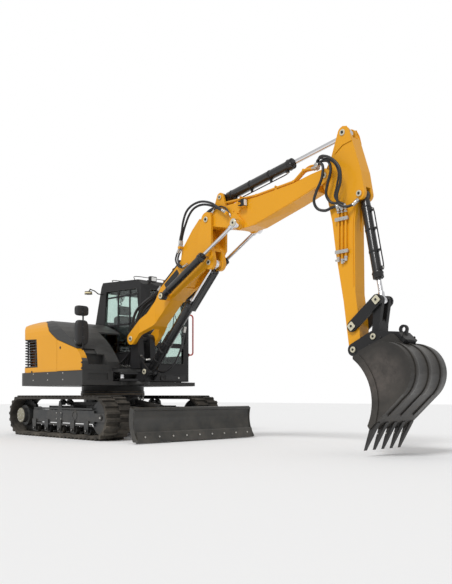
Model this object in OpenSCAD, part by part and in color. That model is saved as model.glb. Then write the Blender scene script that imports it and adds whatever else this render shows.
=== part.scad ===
// Crawler excavator of about nine tonnes with a swing boom in two pieces.
// X points forward, Y left, Z up. The origin is on the ground under the slew axis.
// A point with two numbers is [x, z] in the side view.

/* [Undercarriage] */
// Length of a track over its lugs
track_len = 2840; // [2600:10:3100]
// Height of a track over its lugs
track_h = 646; // [600:2:700]
// Width of a track shoe
track_w = 450; // [350:10:500]
// Width over both tracks
over_w = 2200; // [2100:10:2400]
// Thickness of the rubber belt
belt_t = 34; // [25:1:45]
// Height of the lugs over the belt
lug_h = 26; // [15:1:35]
// Spacing of the lugs along the belt
lug_pitch = 104; // [90:1:160]
// Radius of the bottom rollers
roller_r = 66; // [55:1:75]
// Number of bottom rollers on each side
roller_count = 5; // [4:1:6]
// Spacing of the bottom rollers
roller_pitch = 375; // [340:1:380]
// Width of the track beam
beam_w = 230; // [180:2:260]
// Height of the track beam
beam_h = 190; // [150:2:220]
// Radius of the slew ring
ring_r = 515; // [450:5:560]
// Height of the upper structure's underside over the ground
deck_z = 800; // [780:2:860]

/* [Blade] */
// Width of the blade
blade_w = 2244; // [2200:2:2400]
// Pivot of the blade arms
blade_pin = [950, 420]; // [300:1:1100]
// Top edge of the blade board
blade_top = [2036, 465]; // [300:1:2200]
// Cutting edge of the blade board
blade_edge = [2121, 23]; // [5:1:2200]
// Depth of the board's curve
blade_bow = 55; // [30:1:90]
// Thickness of the board
blade_t = 18; // [12:1:30]
// Distance of each blade arm from the centre
blade_arm_y = 330; // [250:5:420]

/* [Upper structure] */
// Radius of the tail around the slew axis
tail_r = 1510; // [1450:5:1600]
// Half the width of the upper structure
half_w = 1100; // [1050:5:1150]
// Radius of the tail's corners
corner_r = 280; // [200:5:350]
// Front of the upper structure
front_x = 790; // [760:5:820]
// Height of the skirt's upper edge
skirt_z = 1010; // [960:5:1040]
// Height of the hood's crest
hood_z = 1850; // [1750:5:1900]
// Distance of the hood's tail behind the skirt's tail
tail_step = 60; // [20:5:130]
// Thickness of the skirt
skirt_t = 12; // [8:1:16]
// Thickness of the hood's panels
panel_t = 24; // [16:1:30]
// Gap between the body panels
panel_gap = 6; // [5:0.5:10]
// Height of the counterweight's upper edge
weight_z = 1400; // [1300:5:1500]

/* [Cab] */
// Right and left side of the cab
cab_y = [20, 985]; // [0:5:1100]
// Thickness of the cab's walls
cab_t = 50; // [40:1:60]
// Height of the cab's roof
cab_top_z = 2540; // [2450:5:2600]
// Height of the rubber mounts under the cab
cab_mount_h = 10; // [6:1:20]
// Width of the door
door_w = 940; // [800:5:960]
// Largest opening of the glass gaps round a pane
seal_gap = 5; // [4:0.5:8]

/* [Boom] */
// Centre of the boom, right of the slew axis
boom_y = -180; // [-250:5:-150]
// Swing axis of the boom
swing_x = 1000; // [980:1:1040]
// Foot pin of the lower boom
foot_pin = [1030, 1495]; // [1000:1:1550]
// Foot pin of the lift cylinder
lift_foot = [1220, 1000]; // [950:1:1260]
// Joint of both booms, from the foot pin
mid_at = [1570, 1525]; // [1450:1:1650]
// Lift cylinder's eye, from the foot pin
lift_eye_at = [1590, 945]; // [900:1:1650]
// Base pins of the adjusting cylinders, from the foot pin
adjust_base_at = [740, 565]; // [520:1:780]
// Eyes of the adjusting cylinders, from the joint of both booms
adjust_eye_at = [610, -170]; // [-200:1:650]
// Base pin of the arm cylinder, from the joint of both booms
arm_cyl_at = [210, 270]; // [180:1:300]
// Arm's pivot, from the joint of both booms
arm_pin_at = [1960, 160]; // [120:1:2050]
// Half the width of the boom's box
boom_half = 120; // [100:1:140]
// Radius of the boom's pins
pin_r = 36; // [30:1:45]
// Thickness of ears and forks
ear_t = 35; // [25:1:45]
// Half the width of the swing post's head
foot_half = 160; // [140:1:170]
// Thickness of the lower boom's legs
leg_t = 65; // [50:1:70]
// Distance of the adjusting cylinders from the boom's centre
adjust_y = 220; // [215:1:230]

/* [Arm and bucket] */
// Arm cylinder's eye, from the arm's pivot
arm_eye_at = [240, 440]; // [200:1:480]
// Base pin of the bucket cylinder, from the arm's pivot
bucket_cyl_at = [460, -300]; // [-330:1:480]
// Bucket's pivot, from the arm's pivot
bucket_pin_at = [390, -2030]; // [-2100:1:430]
// Foot pin of the rocker, from the bucket's pivot
rocker_foot_at = [-20, 260]; // [-40:1:290]
// Head pin of the rocker, from the bucket's pivot
rocker_head_at = [300, 525]; // [270:1:550]
// Link pin of the coupler, from the bucket's pivot
link_pin_at = [260, 130]; // [110:1:280]
// Half the width of the arm
arm_half = 90; // [80:1:100]
// Width of the bucket
bucket_w = 760; // [700:5:900]
// Number of teeth
tooth_count = 5; // [4:1:6]
// Thickness of the bucket's side plates
side_t = 22; // [16:1:30]

/* [Cylinders] */
// Barrel radius of the lift cylinder
lift_r = 68; // [60:1:72]
// Rod radius of the lift cylinder
lift_rod_r = 32; // [28:1:36]
// Barrel radius of the adjusting cylinders
adjust_r = 50; // [44:1:54]
// Rod radius of the adjusting cylinders
adjust_rod_r = 24; // [20:1:27]
// Barrel radius of the arm cylinder
arm_r = 60; // [52:1:64]
// Rod radius of the arm cylinder
arm_rod_r = 28; // [24:1:32]
// Barrel radius of the bucket cylinder
bucket_r = 54; // [48:1:58]
// Rod radius of the bucket cylinder
bucket_rod_r = 26; // [22:1:29]
// Barrel radius of the blade and swing cylinders
small_r = 48; // [42:1:52]
// Rod radius of the blade and swing cylinders
small_rod_r = 22; // [18:1:25]
// Base pin of the swing cylinder, seen from above
swing_base = [-150, -60]; // [-200:1:-40]
// Eye of the swing cylinder from the swing axis, seen from above
swing_eye_at = [-130, -270]; // [-300:1:-100]

/* [Clearances] */
// Running gap round pins and rods
pin_gap = 0.5; // [0.3:0.1:1]
// Gap between moving cheeks
cheek_gap = 6; // [5:0.5:8]
// Gap where pieces of one body only touch
seat_gap = 0.3; // [0.2:0.1:0.5]
// Gap between the halves of the slew ring
ring_gap = 0.6; // [0.4:0.1:0.9]

/* [Hidden] */
$fn = 48;

// Widths of the cylinders' eyes and the radius of the small pins
lift_foot_w = 2 * lift_r + 14;
lift_eye_w = 110;
adjust_base_w = 76;
adjust_eye_w = 70;
adjust_pin_r = 30;
arm_base_w = 2 * arm_r + 6;
arm_eye_w = 90;
bucket_base_w = 76;
bucket_eye_w = 70;
small_pin_r = 25;
small_base_w = 70;
small_eye_w = 60;
link_pin_r = 30;
swing_pin_r = 45;
cap_t = 5;
gland_t = 7;
floor_t = 60;
floor_z = deck_z + floor_t;
hood_half_w = half_w - skirt_t - panel_gap;
hood_front = front_x - skirt_t - panel_gap;
hood_tail_r = tail_r - tail_step;
cab_floor_z = floor_z + cab_mount_h;

yellow = [0.93, 0.62, 0.08];
charcoal = [0.24, 0.24, 0.24];
black = [0.1, 0.1, 0.1];
rubber = [0.22, 0.2, 0.18];
steel = [0.75, 0.75, 0.75];

// Pins of the attachment in the side view
mid_pin = foot_pin + mid_at;
lift_eye = foot_pin + lift_eye_at;
adjust_base = foot_pin + adjust_base_at;
adjust_eye = mid_pin + adjust_eye_at;
arm_cyl_pin = mid_pin + arm_cyl_at;
arm_pin = mid_pin + arm_pin_at;
arm_eye = arm_pin + arm_eye_at;
bucket_cyl_pin = arm_pin + bucket_cyl_at;
bucket_pin = arm_pin + bucket_pin_at;
rocker_foot = bucket_pin + rocker_foot_at;
rocker_head = bucket_pin + rocker_head_at;
link_pin = bucket_pin + link_pin_at;

// Places of the undercarriage
gauge_y = (over_w - track_w) / 2;
track_r = track_h / 2;
wheel_x = track_len / 2 - track_r;
belt_r = track_r - lug_h;
inner_r = belt_r - belt_t;
beam_z = 325;
ring_z = 705;

// A flat shape of the side view, from y0 to y1
module side(y0, y1) {
    translate([0, y1, 0]) rotate([90, 0, 0]) linear_extrude(height = y1 - y0) children();
}

// A round bar across the machine
module bar(p, r, y0, y1) {
    side(y0, y1) translate(p) circle(r = r);
}

// Two circles and the straight sides that touch both
module strap(a, ra, b, rb) {
    turn = atan2(b[1] - a[1], b[0] - a[0]);
    open = acos((ra - rb) / norm(b - a));
    translate(a) circle(r = ra);
    translate(b) circle(r = rb);
    polygon([a + ra * [cos(turn + open), sin(turn + open)], a + ra * [cos(turn - open), sin(turn - open)],
        b + rb * [cos(turn - open), sin(turn - open)], b + rb * [cos(turn + open), sin(turn + open)]]);
}

// Children along +Z are laid from pin a towards pin b, at the side y
module along(a, b, y) {
    translate([a[0], y, a[1]]) rotate([0, 90 - atan2(b[1] - a[1], b[0] - a[0]), 0]) children();
}

// Barrel of a cylinder: base eye, tube with its bore, and gland
module barrel(r, rod_r, len, bore, eye_w, base_pin_r) {
    eye_r = base_pin_r + 24;
    bore_w = max(eye_w, 2 * r) + 10;
    difference() {
        union() {
            rotate([90, 0, 0]) cylinder(r = eye_r, h = eye_w, center = true);
            translate([0, 0, eye_r * 0.5]) cylinder(r = r * 0.8, h = eye_r);
            translate([0, 0, eye_r + 12]) cylinder(r = r, h = len - eye_r - 12);
            translate([0, 0, len - 70]) cylinder(r = r + gland_t, h = 70);
        }
        rotate([90, 0, 0]) cylinder(r = base_pin_r + pin_gap, h = bore_w, center = true);
        translate([0, 0, len - bore]) cylinder(r = rod_r + pin_gap, h = bore + 1);
    }
}

// Rod of a cylinder: bar from its inner end to its eye, with a short pin in the eye
module rod(r, start, eye_z, eye_w, eye_r) {
    translate([0, 0, start]) cylinder(r = r, h = eye_z - start - eye_r * 0.5);
    translate([0, 0, eye_z - eye_r - 45]) cylinder(r = r + 9, h = 45 + eye_r * 0.4);
    translate([0, 0, eye_z]) rotate([90, 0, 0]) cylinder(r = eye_r, h = eye_w, center = true);
}

// Track: one closed band with the lugs in its outline, each half set half a pitch on
function loop_len(r) = 4 * wheel_x + 2 * PI * r;
function loop_point(s, r, out) =
    let (arc = PI * belt_r, run = 2 * wheel_x)
    s < run ? [wheel_x - s, track_r + out] :
    s < run + arc ? [-wheel_x, track_r] + out * [cos(90 + 180 * (s - run) / arc),
        sin(90 + 180 * (s - run) / arc)] :
    s < 2 * run + arc ? [s - run - arc - wheel_x, track_r - out] :
    [wheel_x, track_r] + out * [cos(270 + 180 * (s - 2 * run - arc) / arc),
        sin(270 + 180 * (s - 2 * run - arc) / arc)];
module track_half(y0, y1, shift) {
    count = round(loop_len(belt_r) / lug_pitch);
    pitch = loop_len(belt_r) / count;
    // share of the pitch, radius: foot, crown, crown, foot of each lug
    steps = [[0.0, belt_r], [0.12, track_r], [0.42, track_r], [0.54, belt_r]];
    side(y0, y1) difference() {
        polygon([for (i = [0:count - 1]) for (s = steps)
            loop_point((i + s[0] + shift) * pitch % loop_len(belt_r), belt_r, s[1])]);
        translate([-wheel_x, track_r]) circle(r = inner_r);
        translate([wheel_x, track_r]) circle(r = inner_r);
        translate([-wheel_x, track_r - inner_r]) square([2 * wheel_x, 2 * inner_r]);
    }
}
module track(y) {
    color(rubber) {
        track_half(y - track_w / 2, y, 0);
        track_half(y, y + track_w / 2, 0.45);
    }
}
module track_right() { track(-gauge_y); }
module track_left() { track(gauge_y); }

// Sprockets with the final drives' covers outside
sprocket_teeth = 21;
hub_in = 115;
module sprockets() color(charcoal) for (s = [-1, 1]) {
    y = s * gauge_y;
    root_r = inner_r - 24;
    side(y - 25, y + 25) translate([-wheel_x, track_r])
        polygon([for (i = [0:sprocket_teeth - 1]) for (k = [[0, root_r], [0.3, inner_r - 4],
            [0.6, inner_r - 4], [0.9, root_r]])
            k[1] * [cos(360 * (i + k[0]) / sprocket_teeth), sin(360 * (i + k[0]) / sprocket_teeth)]]);
    translate([-wheel_x, y, track_r]) rotate([-90 * s, 0, 0]) {
        cylinder(r = 165, h = 110);
        cylinder(r = 120, h = 175);
        translate([0, 0, -hub_in]) cylinder(r = 150, h = hub_in);
    }
}

// Idlers, bottom rollers and the carrier roller of each track
roller_x = [for (i = [0:roller_count - 1]) (i - (roller_count - 1) / 2) * roller_pitch];
idler_r = inner_r - seat_gap;
module wheel(x, z, r, y, rim, hub_r, hub_w) {
    for (k = [-1, 1])
        side(y + k * 60 - rim / 2, y + k * 60 + rim / 2) translate([x, z]) circle(r = r);
    bar([x, z], hub_r, y - hub_w / 2, y + hub_w / 2);
}
module rollers() color(charcoal) for (s = [-1, 1]) {
    wheel(wheel_x, track_r, idler_r, s * gauge_y, 50, 60, beam_w - 90);
    for (x = roller_x)
        wheel(x, track_r - inner_r + roller_r + seat_gap, roller_r, s * gauge_y, 60, 34, beam_w - 20);
    wheel(0, track_r + inner_r - 45 - seat_gap, 45, s * gauge_y, 60, 22, 190);
}

// Track frame: car body, legs, beams with roller yokes, and the lower slew ring
module beam(s) {
    y = s * gauge_y;
    z0 = beam_z - beam_h / 2;
    lift = track_r - inner_r + roller_r + seat_gap;
    difference() {
        side(y - beam_w / 2, y + beam_w / 2) polygon([[-820, z0], [930, z0], [930, z0 + beam_h],
            [-800, z0 + beam_h]]);
        side(y - beam_w / 2 + 30, y + beam_w / 2 - 30) translate([wheel_x, track_r]) circle(r = idler_r + 15);
    }
    // fork of the idler, one cheek on each side
    for (k = [-1, 1])
        side(y + k * (beam_w / 2 - 14) - 14, y + k * (beam_w / 2 - 14) + 14)
            strap([900, track_r], 60, [wheel_x + 90, track_r], 60);
    // hangers of the rollers
    for (x = roller_x) for (k = [-1, 1])
        side(y + k * (beam_w / 2 + 9) - 9, y + k * (beam_w / 2 + 9) + 9)
            polygon([[x - 60, z0 + 40], [x - 42, lift - 40], [x + 42, lift - 40], [x + 60, z0 + 40]]);
    // stand of the carrier roller
    for (k = [-1, 1])
        side(y + k * 105 - 8, y + k * 105 + 8)
            polygon([[-60, z0 + beam_h], [-25, track_r + inner_r - 25], [25, track_r + inner_r - 25],
                [60, z0 + beam_h]]);
}
module track_frame() color(black) {
    for (s = [-1, 1]) beam(s);
    // drive housings join the beams to the sprockets
    for (s = [-1, 1])
        translate([-wheel_x, s * (gauge_y - hub_in - seat_gap), track_r]) rotate([90 * s, 0, 0])
            cylinder(r = 140, h = 60);
    for (s = [-1, 1])
        side(s * (gauge_y - hub_in - seat_gap - 30) - 30, s * (gauge_y - hub_in - seat_gap - 30) + 30)
            polygon([[-wheel_x, track_r - 110], [-700, 250], [-700, 400], [-wheel_x, track_r + 110]]);
    for (s = [-1, 1]) side(s * (gauge_y - hub_in) - 6, s * (gauge_y - hub_in) + 6) translate([-800, 250])
        square([100, 150]);
    // legs of the car body
    translate([0, 0, 350]) linear_extrude(height = 130) for (s = [-1, 1]) for (k = [-1, 1])
        polygon([[k * 120, s * 200], [k * 700, s * (gauge_y - beam_w / 2 + 5)],
            [k * 380, s * (gauge_y - beam_w / 2 + 5)],
            [0, s * 430]]);
    // centre box and bearing seat
    translate([-470, -470, 330]) cube([940, 940, 210]);
    translate([0, 0, 540]) cylinder(r = ring_r - 45, h = 90);
    translate([0, 0, 630]) cylinder(r = ring_r, h = ring_z - 630 - ring_gap);
    // ears of the blade arms and of the blade cylinder
    for (y = [-blade_arm_y, blade_arm_y]) for (k = [-1, 1])
        side(y + k * 77 - 14, y + k * 77 + 14) strap(blade_pin, 58, [470, 420], 80);
    for (y = [-blade_arm_y, blade_arm_y]) bar(blade_pin, 28, y - 95, y + 95);
    for (k = [-1, 1]) side(k * (small_base_w / 2 + cheek_gap + 12) - 12,
        k * (small_base_w / 2 + cheek_gap + 12) + 12)
        strap(blade_foot, 40, [470, 500], 40);
    bar(blade_foot, small_pin_r, -small_base_w / 2 - 35, small_base_w / 2 + 35);
}

// Blade: curved board, stiffening box, arms and cutting edge
blade_foot = [620, 545];
blade_eye = [1690, 385];
blade_mid = (blade_top + blade_edge) / 2;
blade_chord = norm(blade_top - blade_edge);
blade_r = (blade_chord * blade_chord / 4 + blade_bow * blade_bow) / (2 * blade_bow);
blade_turn = atan2(blade_top[1] - blade_edge[1], blade_top[0] - blade_edge[0]) - 90;
blade_c = blade_mid + (blade_r - blade_bow) * [cos(blade_turn), sin(blade_turn)];
module blade_arc(inside, outside) intersection() {
    difference() {
        translate(blade_c) circle(r = outside, $fn = 180);
        translate(blade_c) circle(r = inside, $fn = 180);
    }
    polygon([blade_c, blade_c + 1.3 * (blade_top - blade_c), blade_c + 1.3 * (blade_edge - blade_c)]);
}
module blade() color(charcoal) {
    side(-blade_w / 2, blade_w / 2) blade_arc(blade_r, blade_r + blade_t);
    // end plates
    for (s = [-1, 1])
        side(s * (blade_w / 2 - 10) - 10, s * (blade_w / 2 - 10) + 10) {
            intersection() {
                blade_arc(blade_r - 14, blade_r + 70);
                translate([1500, blade_edge[1]]) square([1000, 600]);
            }
        }
    // top roll and the box behind the board
    side(-blade_w / 2 + 20, blade_w / 2 - 20) translate(blade_top + [-12, -6]) circle(r = 26);
    side(-860, 860) intersection() {
        blade_arc(blade_r + blade_t - 2, blade_r + 110);
        translate([1800, 140]) square([400, 190]);
    }
    // cutting edge
    side(-blade_w / 2 + 21, blade_w / 2 - 21) translate(blade_edge) rotate(12)
        polygon([[0, 0], [-22, 0], [-22, 125], [-6, 140], [0, 125]]);
    // arms
    for (y = [-blade_arm_y, blade_arm_y]) difference() {
        side(y - 57, y + 57) union() {
            strap(blade_pin, 58, blade_pin + [300, -40], 66);
            polygon([blade_pin + [260, 25], blade_pin + [290, -106], [1985, 130], [1985, 300]]);
        }
        bar(blade_pin, 28 + pin_gap, y - 58, y + 58);
    }
    // cross tube and the ears of the cylinder's eye
    bar(blade_pin + [640, -122], 42, -blade_arm_y + 50, blade_arm_y - 50);
    for (k = [-1, 1])
        side(k * (small_eye_w / 2 + cheek_gap + 12) - 12, k * (small_eye_w / 2 + cheek_gap + 12) + 12)
            strap(blade_eye, 42, [1960, 250], 60);
}
module blade_barrel() color(black) along(blade_foot, blade_eye, 0)
    barrel(small_r, small_rod_r, 640, 520, small_base_w, small_pin_r);
module blade_rod() color(steel) along(blade_foot, blade_eye, 0)
    rod(small_rod_r, 330, norm(blade_eye - blade_foot), small_eye_w, 40);

// Points of an arc about c, without the last one
function arc(c, r, a0, a1, n) = [for (i = [0:n - 1]) c + r * [cos(a0 + (a1 - a0) * i / n),
    sin(a0 + (a1 - a0) * i / n)]];

// Outline of the upper structure from above, for a tail of radius r and half width w
module plan(r, w) {
    in = corner_r - tail_r + r;
    x = -sqrt((r - in) ^ 2 - (w - in) ^ 2);
    turn = atan2(w - in, x);
    polygon(concat([[front_x, -w]], arc([x, in - w], in, -90, -turn, 6),
        arc([0, 0], r, -turn, turn - 360, 18),
        arc([x, w - in], in, turn, 90, 6), [[x, w], [front_x, w]]));
}

// Hood: crest over the side view, rounded shoulders over the cross view
crest_r = 1700;
crest_x = -600;
shoulder_r = 260;
module hood_side() polygon(concat([[-tail_r, 0], [front_x, 0]], arc([crest_x, hood_z - crest_r], crest_r,
    acos((front_x - crest_x) / crest_r), acos((-tail_r - crest_x) / crest_r), 14)));
module hood_cross() {
    in = hood_half_w - shoulder_r;
    z = hood_z - shoulder_r;
    polygon(concat([[-hood_half_w, 0], [hood_half_w, 0]], arc([in, z], shoulder_r, 0, 90, 6),
        [[in, hood_z + 20],
        [-in, hood_z + 20]], arc([-in, z], shoulder_r, 90, 180, 6), [[-hood_half_w, z]]));
}
module hood(d) intersection() {
    translate([0, 0, floor_z + seat_gap]) linear_extrude(height = hood_z - floor_z) intersection() {
        plan(hood_tail_r - d, hood_half_w - d);
        translate([-tail_r, -half_w]) square([tail_r + hood_front - d, 2 * half_w]);
    }
    side(-hood_half_w - 10, hood_half_w + 10) translate([0, -d]) hood_side();
    across(-tail_r, front_x) translate([0, -d]) hood_cross();
}
module shell() difference() {
    hood(0);
    translate([0, 0, -1]) hood(panel_t);
}
module across(x0, x1) translate([x0, 0, 0]) rotate([90, 0, 90]) linear_extrude(height = x1 - x0) children();

// Deck: floor plate, skirts, the nose that carries the swing post, and the upper slew ring
nose_t = 50;
nose_z = [deck_z + 10, deck_z + 200];
swing_z = (nose_z[0] + nose_z[1] + nose_t) / 2;
nose_x = 500;
module nose_plate() difference() {
    union() {
        translate([swing_x, boom_y]) circle(r = 120);
        polygon([[nose_x, -560], [700, -560], [840, boom_y - 150], [swing_x + 30, boom_y - 116],
            [swing_x + 30, boom_y + 116], [840, 0], [790, 10], [nose_x, 10]]);
    }
    translate([swing_x, boom_y]) circle(r = swing_pin_r + pin_gap);
}
module deck() color(charcoal) {
    translate([0, 0, ring_z]) cylinder(r = ring_r - 10, h = deck_z - ring_z);
    translate([0, 0, deck_z]) linear_extrude(height = floor_t) plan(tail_r, half_w);
    // skirt, open where the cab stands and where the boom swings
    translate([0, 0, floor_z]) linear_extrude(height = skirt_z - floor_z) difference() {
        plan(tail_r, half_w);
        plan(tail_r - skirt_t, half_w - skirt_t);
        translate([-560, cab_y[0] - 20]) square([2000, 2000]);
        translate([nose_x, -560]) square([2000, 2000]);
    }
    // front wall of the skirt with the lower step
    difference() {
        translate([front_x - skirt_t, -half_w, floor_z]) cube([skirt_t, half_w - 560, skirt_z - floor_z]);
        translate([front_x - 40, -half_w + 90, floor_z + 20]) cube([50, half_w - 740,
            skirt_z - floor_z - 50]);
    }
    // nose: two plates round the swing pin and the webs between them
    for (z = nose_z) translate([0, 0, z]) linear_extrude(height = nose_t) nose_plate();
    translate([nose_x, -560, floor_z]) cube([190, 30, nose_z[1] - floor_z]);
    translate([nose_x, -20, floor_z]) cube([320, 30, nose_z[1] - floor_z]);
    // stand and pin of the swing cylinder's base
    translate([swing_base[0], swing_base[1], floor_z]) cylinder(r = 50, h = swing_z - small_r - 2 - floor_z);
    translate([swing_base[0], swing_base[1], floor_z]) cylinder(r = small_pin_r,
        h = swing_z + small_base_w / 2 + cap_t - floor_z);
    // rubber mounts of the cab
    for (x = [-430, 640]) for (y = [cab_y[0] + 120, cab_y[1] - 120])
        translate([x, y, floor_z]) cylinder(r = 50, h = cab_mount_h - seat_gap);
}

// Counterweight: solid casting that follows the tail
weight_half = hood_half_w - 310;
weight_x = -1130;
module counterweight() color(yellow) difference() {
    intersection() {
        translate([0, 0, floor_z + seat_gap]) linear_extrude(height = weight_z - floor_z)
            plan(hood_tail_r, hood_half_w);
        translate([-tail_r, -weight_half, 0]) cube([tail_r + weight_x, 2 * weight_half, weight_z]);
    }
    // pocket of the towing eye
    translate([-tail_r - 1, -120, skirt_z + 60]) cube([120, 240, 120]);
}
module engine_block() color(charcoal) translate([-1080, -380, floor_z + seat_gap]) cube([420, 800, 700]);

// Panels at both rear corners and along the right side
door_x = 60;
lid_x = -640;
module flank_outline(d) polygon([[-1600, 800], [-1600, 2200], [lid_x + d, 2200], [lid_x + d, 1845 + d],
    [-400 + d, 1790 + d],
    [-250 + d, 1700 + d], [-190 + d, 1640 + d], [50 + d, 1500 + d], [hood_front - 110 + d, 1320 + d],
    [hood_front - 20 + d, 1150 + d], [hood_front - 20 + d, 800]]);
module grille_outline() polygon([[-1180, 1090], [-520, 1090], [-560, 1540], [-1150, 1560]]);
module corner_panels() color(yellow) difference() {
    intersection() {
        shell();
        union() {
            side(-half_w, -weight_half - panel_gap) difference() {
                flank_outline(0);
                translate([door_x - panel_gap, 0]) square([2000, 3000]);
            }
            side(weight_half + panel_gap, half_w) translate([-1600, 800]) square([1600 + lid_x, 1400]);
        }
    }
    side(-half_w - 1, -hood_half_w + 260) grille_outline();
}
// Grille of the radiator: slats in the opening of the right rear corner
module grille() color(black) intersection() {
    difference() {
        hood(6);
        translate([0, 0, -1]) hood(18);
    }
    side(-half_w, -hood_half_w + 260) intersection() {
        grille_outline();
        union() {
            for (z = [1100:44:1540]) translate([-1300, z]) square([900, 16]);
            for (x = [-1100, -850, -600]) translate([x, 1000]) square([14, 700]);
            difference() {
                grille_outline();
                polygon([[-1165, 1105], [-536, 1105], [-574, 1526], [-1137, 1544]]);
            }
        }
    }
}
hinge_r = 9;
hinge_pin_r = 5;
// Hinge with its pin along +Z: the outer part holds the pin, the inner part turns on it
module hinge_outer(h) {
    cylinder(r = hinge_pin_r, h = h);
    cylinder(r = hinge_r, h = h * 0.22);
    translate([0, 0, h * 0.78]) cylinder(r = hinge_r, h = h * 0.22);
}
module hinge_inner(h) difference() {
    translate([0, 0, h * 0.22 + 1]) cylinder(r = hinge_r, h = h * 0.56 - 2);
    cylinder(r = hinge_pin_r + pin_gap, h = h);
}
side_hinge = [hood_front - 17, -hood_half_w - hinge_r - 1];
side_hinge_z = [skirt_z + 20, skirt_z + 130];
module side_door() color(yellow) {
    intersection() {
        shell();
        side(-half_w, -hood_half_w + 100) intersection() {
            flank_outline(0);
            translate([door_x, skirt_z + panel_gap]) square([2000, 3000]);
        }
    }
    h = side_hinge_z[1] - side_hinge_z[0];
    translate([side_hinge[0], side_hinge[1], side_hinge_z[0]]) hinge_inner(h);
    translate([side_hinge[0] - 24, side_hinge[1] - 4, side_hinge_z[0] + h * 0.22 + 1])
        cube([18, 16, h * 0.56 - 2]);
}
step_z = [skirt_z + 90, skirt_z + 260];
step_y = [-hood_half_w + 90, -650];
lid_hinge = [lid_x + 3, hood_z + hinge_r + 1];
lid_hinge_y = [-300, 300];
lid_hinge_h = 120;
module top_hood() color(charcoal) {
    difference() {
        shell();
        side(-half_w, -weight_half) flank_outline(panel_gap);
        // the cab's, the engine hood's and the boom's places, and the upper step
        translate([-606, cab_y[0] - 30, 0]) cube([3000, 3000, 3000]);
        translate([-tail_r, -half_w, 0]) cube([tail_r + lid_x + panel_gap, 2 * half_w, 3000]);
        translate([200, -430, 0]) cube([3000, 3000, 3000]);
        translate([nose_x - panel_gap, -560 - panel_gap, 0])
            cube([1000, 1000, nose_z[1] + nose_t + panel_gap]);
        translate([hood_front - 100, step_y[0], step_z[0]]) cube([200, step_y[1] - step_y[0],
            step_z[1] - step_z[0]]);
    }
    // hinge of the engine hood
    for (y = lid_hinge_y) {
        translate([lid_hinge[0], y + lid_hinge_h / 2, lid_hinge[1]]) rotate([90, 0, 0])
            hinge_outer(lid_hinge_h);
        for (k = [-1, 1]) translate([lid_hinge[0] + 4, y + k * lid_hinge_h * 0.39 - lid_hinge_h * 0.11,
            hood_z - 12])
            cube([20, lid_hinge_h * 0.22, 12 + hinge_r]);
    }
    // hinge of the side door
    h = side_hinge_z[1] - side_hinge_z[0];
    translate([side_hinge[0], side_hinge[1], side_hinge_z[0]]) hinge_outer(h);
    for (z = [0, 0.78]) translate([side_hinge[0] + 4, side_hinge[1] - 4, side_hinge_z[0] + z * h])
        cube([11, 16, 0.22 * h]);
}
module engine_hood() color(yellow) {
    intersection() {
        shell();
        translate([-tail_r, -weight_half, weight_z + panel_gap])
            cube([tail_r + lid_x, 2 * weight_half, 1000]);
    }
    for (y = lid_hinge_y) {
        translate([lid_hinge[0], y + lid_hinge_h / 2, lid_hinge[1]]) rotate([90, 0, 0])
            hinge_inner(lid_hinge_h);
        translate([lid_hinge[0] - 26, y - lid_hinge_h * 0.28 + 1, hood_z - 14])
            cube([20, lid_hinge_h * 0.56 - 2, 14 + hinge_r]);
    }
}

// Tank box under the hood, with the upper step in its front
module tank_box() color(charcoal) difference() {
    intersection() {
        translate([200, 110 - hood_half_w, floor_z + seat_gap]) cube([hood_front - 200, 390, 500]);
        hood(panel_t + panel_gap);
    }
    translate([hood_front - 172, step_y[0], step_z[0]]) cube([200, step_y[1] - step_y[0],
        step_z[1] - step_z[0]]);
    translate([hood_front - 172, -half_w + 90, floor_z + 20]) cube([200, half_w - 740,
        skirt_z - floor_z - 50]);
}

// Cab: outline in the side view, drawn in by d
module cab_side(d) polygon([[-550 + d, cab_floor_z + d * 1.2], [-550 + d, 1830],
    [-370 + d, cab_top_z - 60 - d],
    [-330 + d, cab_top_z - d], [640 - d, cab_top_z - 50 - d], [735 - d, cab_top_z - 130 - d],
        [front_x + 20 - d, 1900],
    [front_x + 20 - d, cab_floor_z + d * 1.2]]);
module cab_plan(d) polygon([[-560, cab_y[0] + d], [front_x - 80 - d / 2, cab_y[0] + d],
    [front_x + 30 - d, cab_y[0] + 110 + d / 2],
    [front_x + 30 - d, cab_y[1] - 60 - d / 2], [front_x - 30 - d / 2, cab_y[1] - d], [-560, cab_y[1] - d]]);
module cab_body(d) intersection() {
    side(cab_y[0] + d, cab_y[1] - d) cab_side(d);
    translate([0, 0, cab_floor_z - 10]) linear_extrude(height = cab_top_z + 120 - cab_floor_z) cab_plan(d);
}
roof_z = cab_top_z - 75;
// Windows in the side, rear and front view
module right_window() polygon([[-270, 1800], [-235, cab_top_z - 160], [620, cab_top_z - 190], [680, 1850],
    [680, 1500],
    [560, 1340], [-270, 1340]]);
module rear_window() translate([cab_y[0] + 110, 1900]) square([cab_y[1] - cab_y[0] - 220, 480]);
module front_windows() {
    translate([cab_y[0] + 150, 1480]) square([cab_y[1] - cab_y[0] - 260, 860]);
    translate([cab_y[0] + 190, 1150]) square([cab_y[1] - cab_y[0] - 340, 270]);
}
module window_cuts() {
    side(cab_y[0] - 10, cab_y[0] + cab_t + 60) right_window();
    across(-700, -300) rear_window();
    across(600, 900) front_windows();
}
sill_h = 45;
door_x0 = -235;
module door_outline(d) intersection() {
    translate([door_x0 - d, cab_floor_z + sill_h - d]) square([door_w + 2 * d,
        roof_z - 60 - cab_floor_z - sill_h + 2 * d]);
    polygon([[-300, 800], [-300, roof_z - 60 + d], [600, roof_z - 70 + d], [front_x - 55 + d, 1880],
        [front_x - 55 + d, 800]]);
}
module door_window() intersection() {
    translate([door_x0 + 70, 1300]) square([door_w - 150, roof_z - 140 - 1300]);
    polygon([[-300, 800], [-300, roof_z - 130], [560, roof_z - 140], [front_x - 130, 1860],
        [front_x - 130, 800]]);
}
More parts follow.
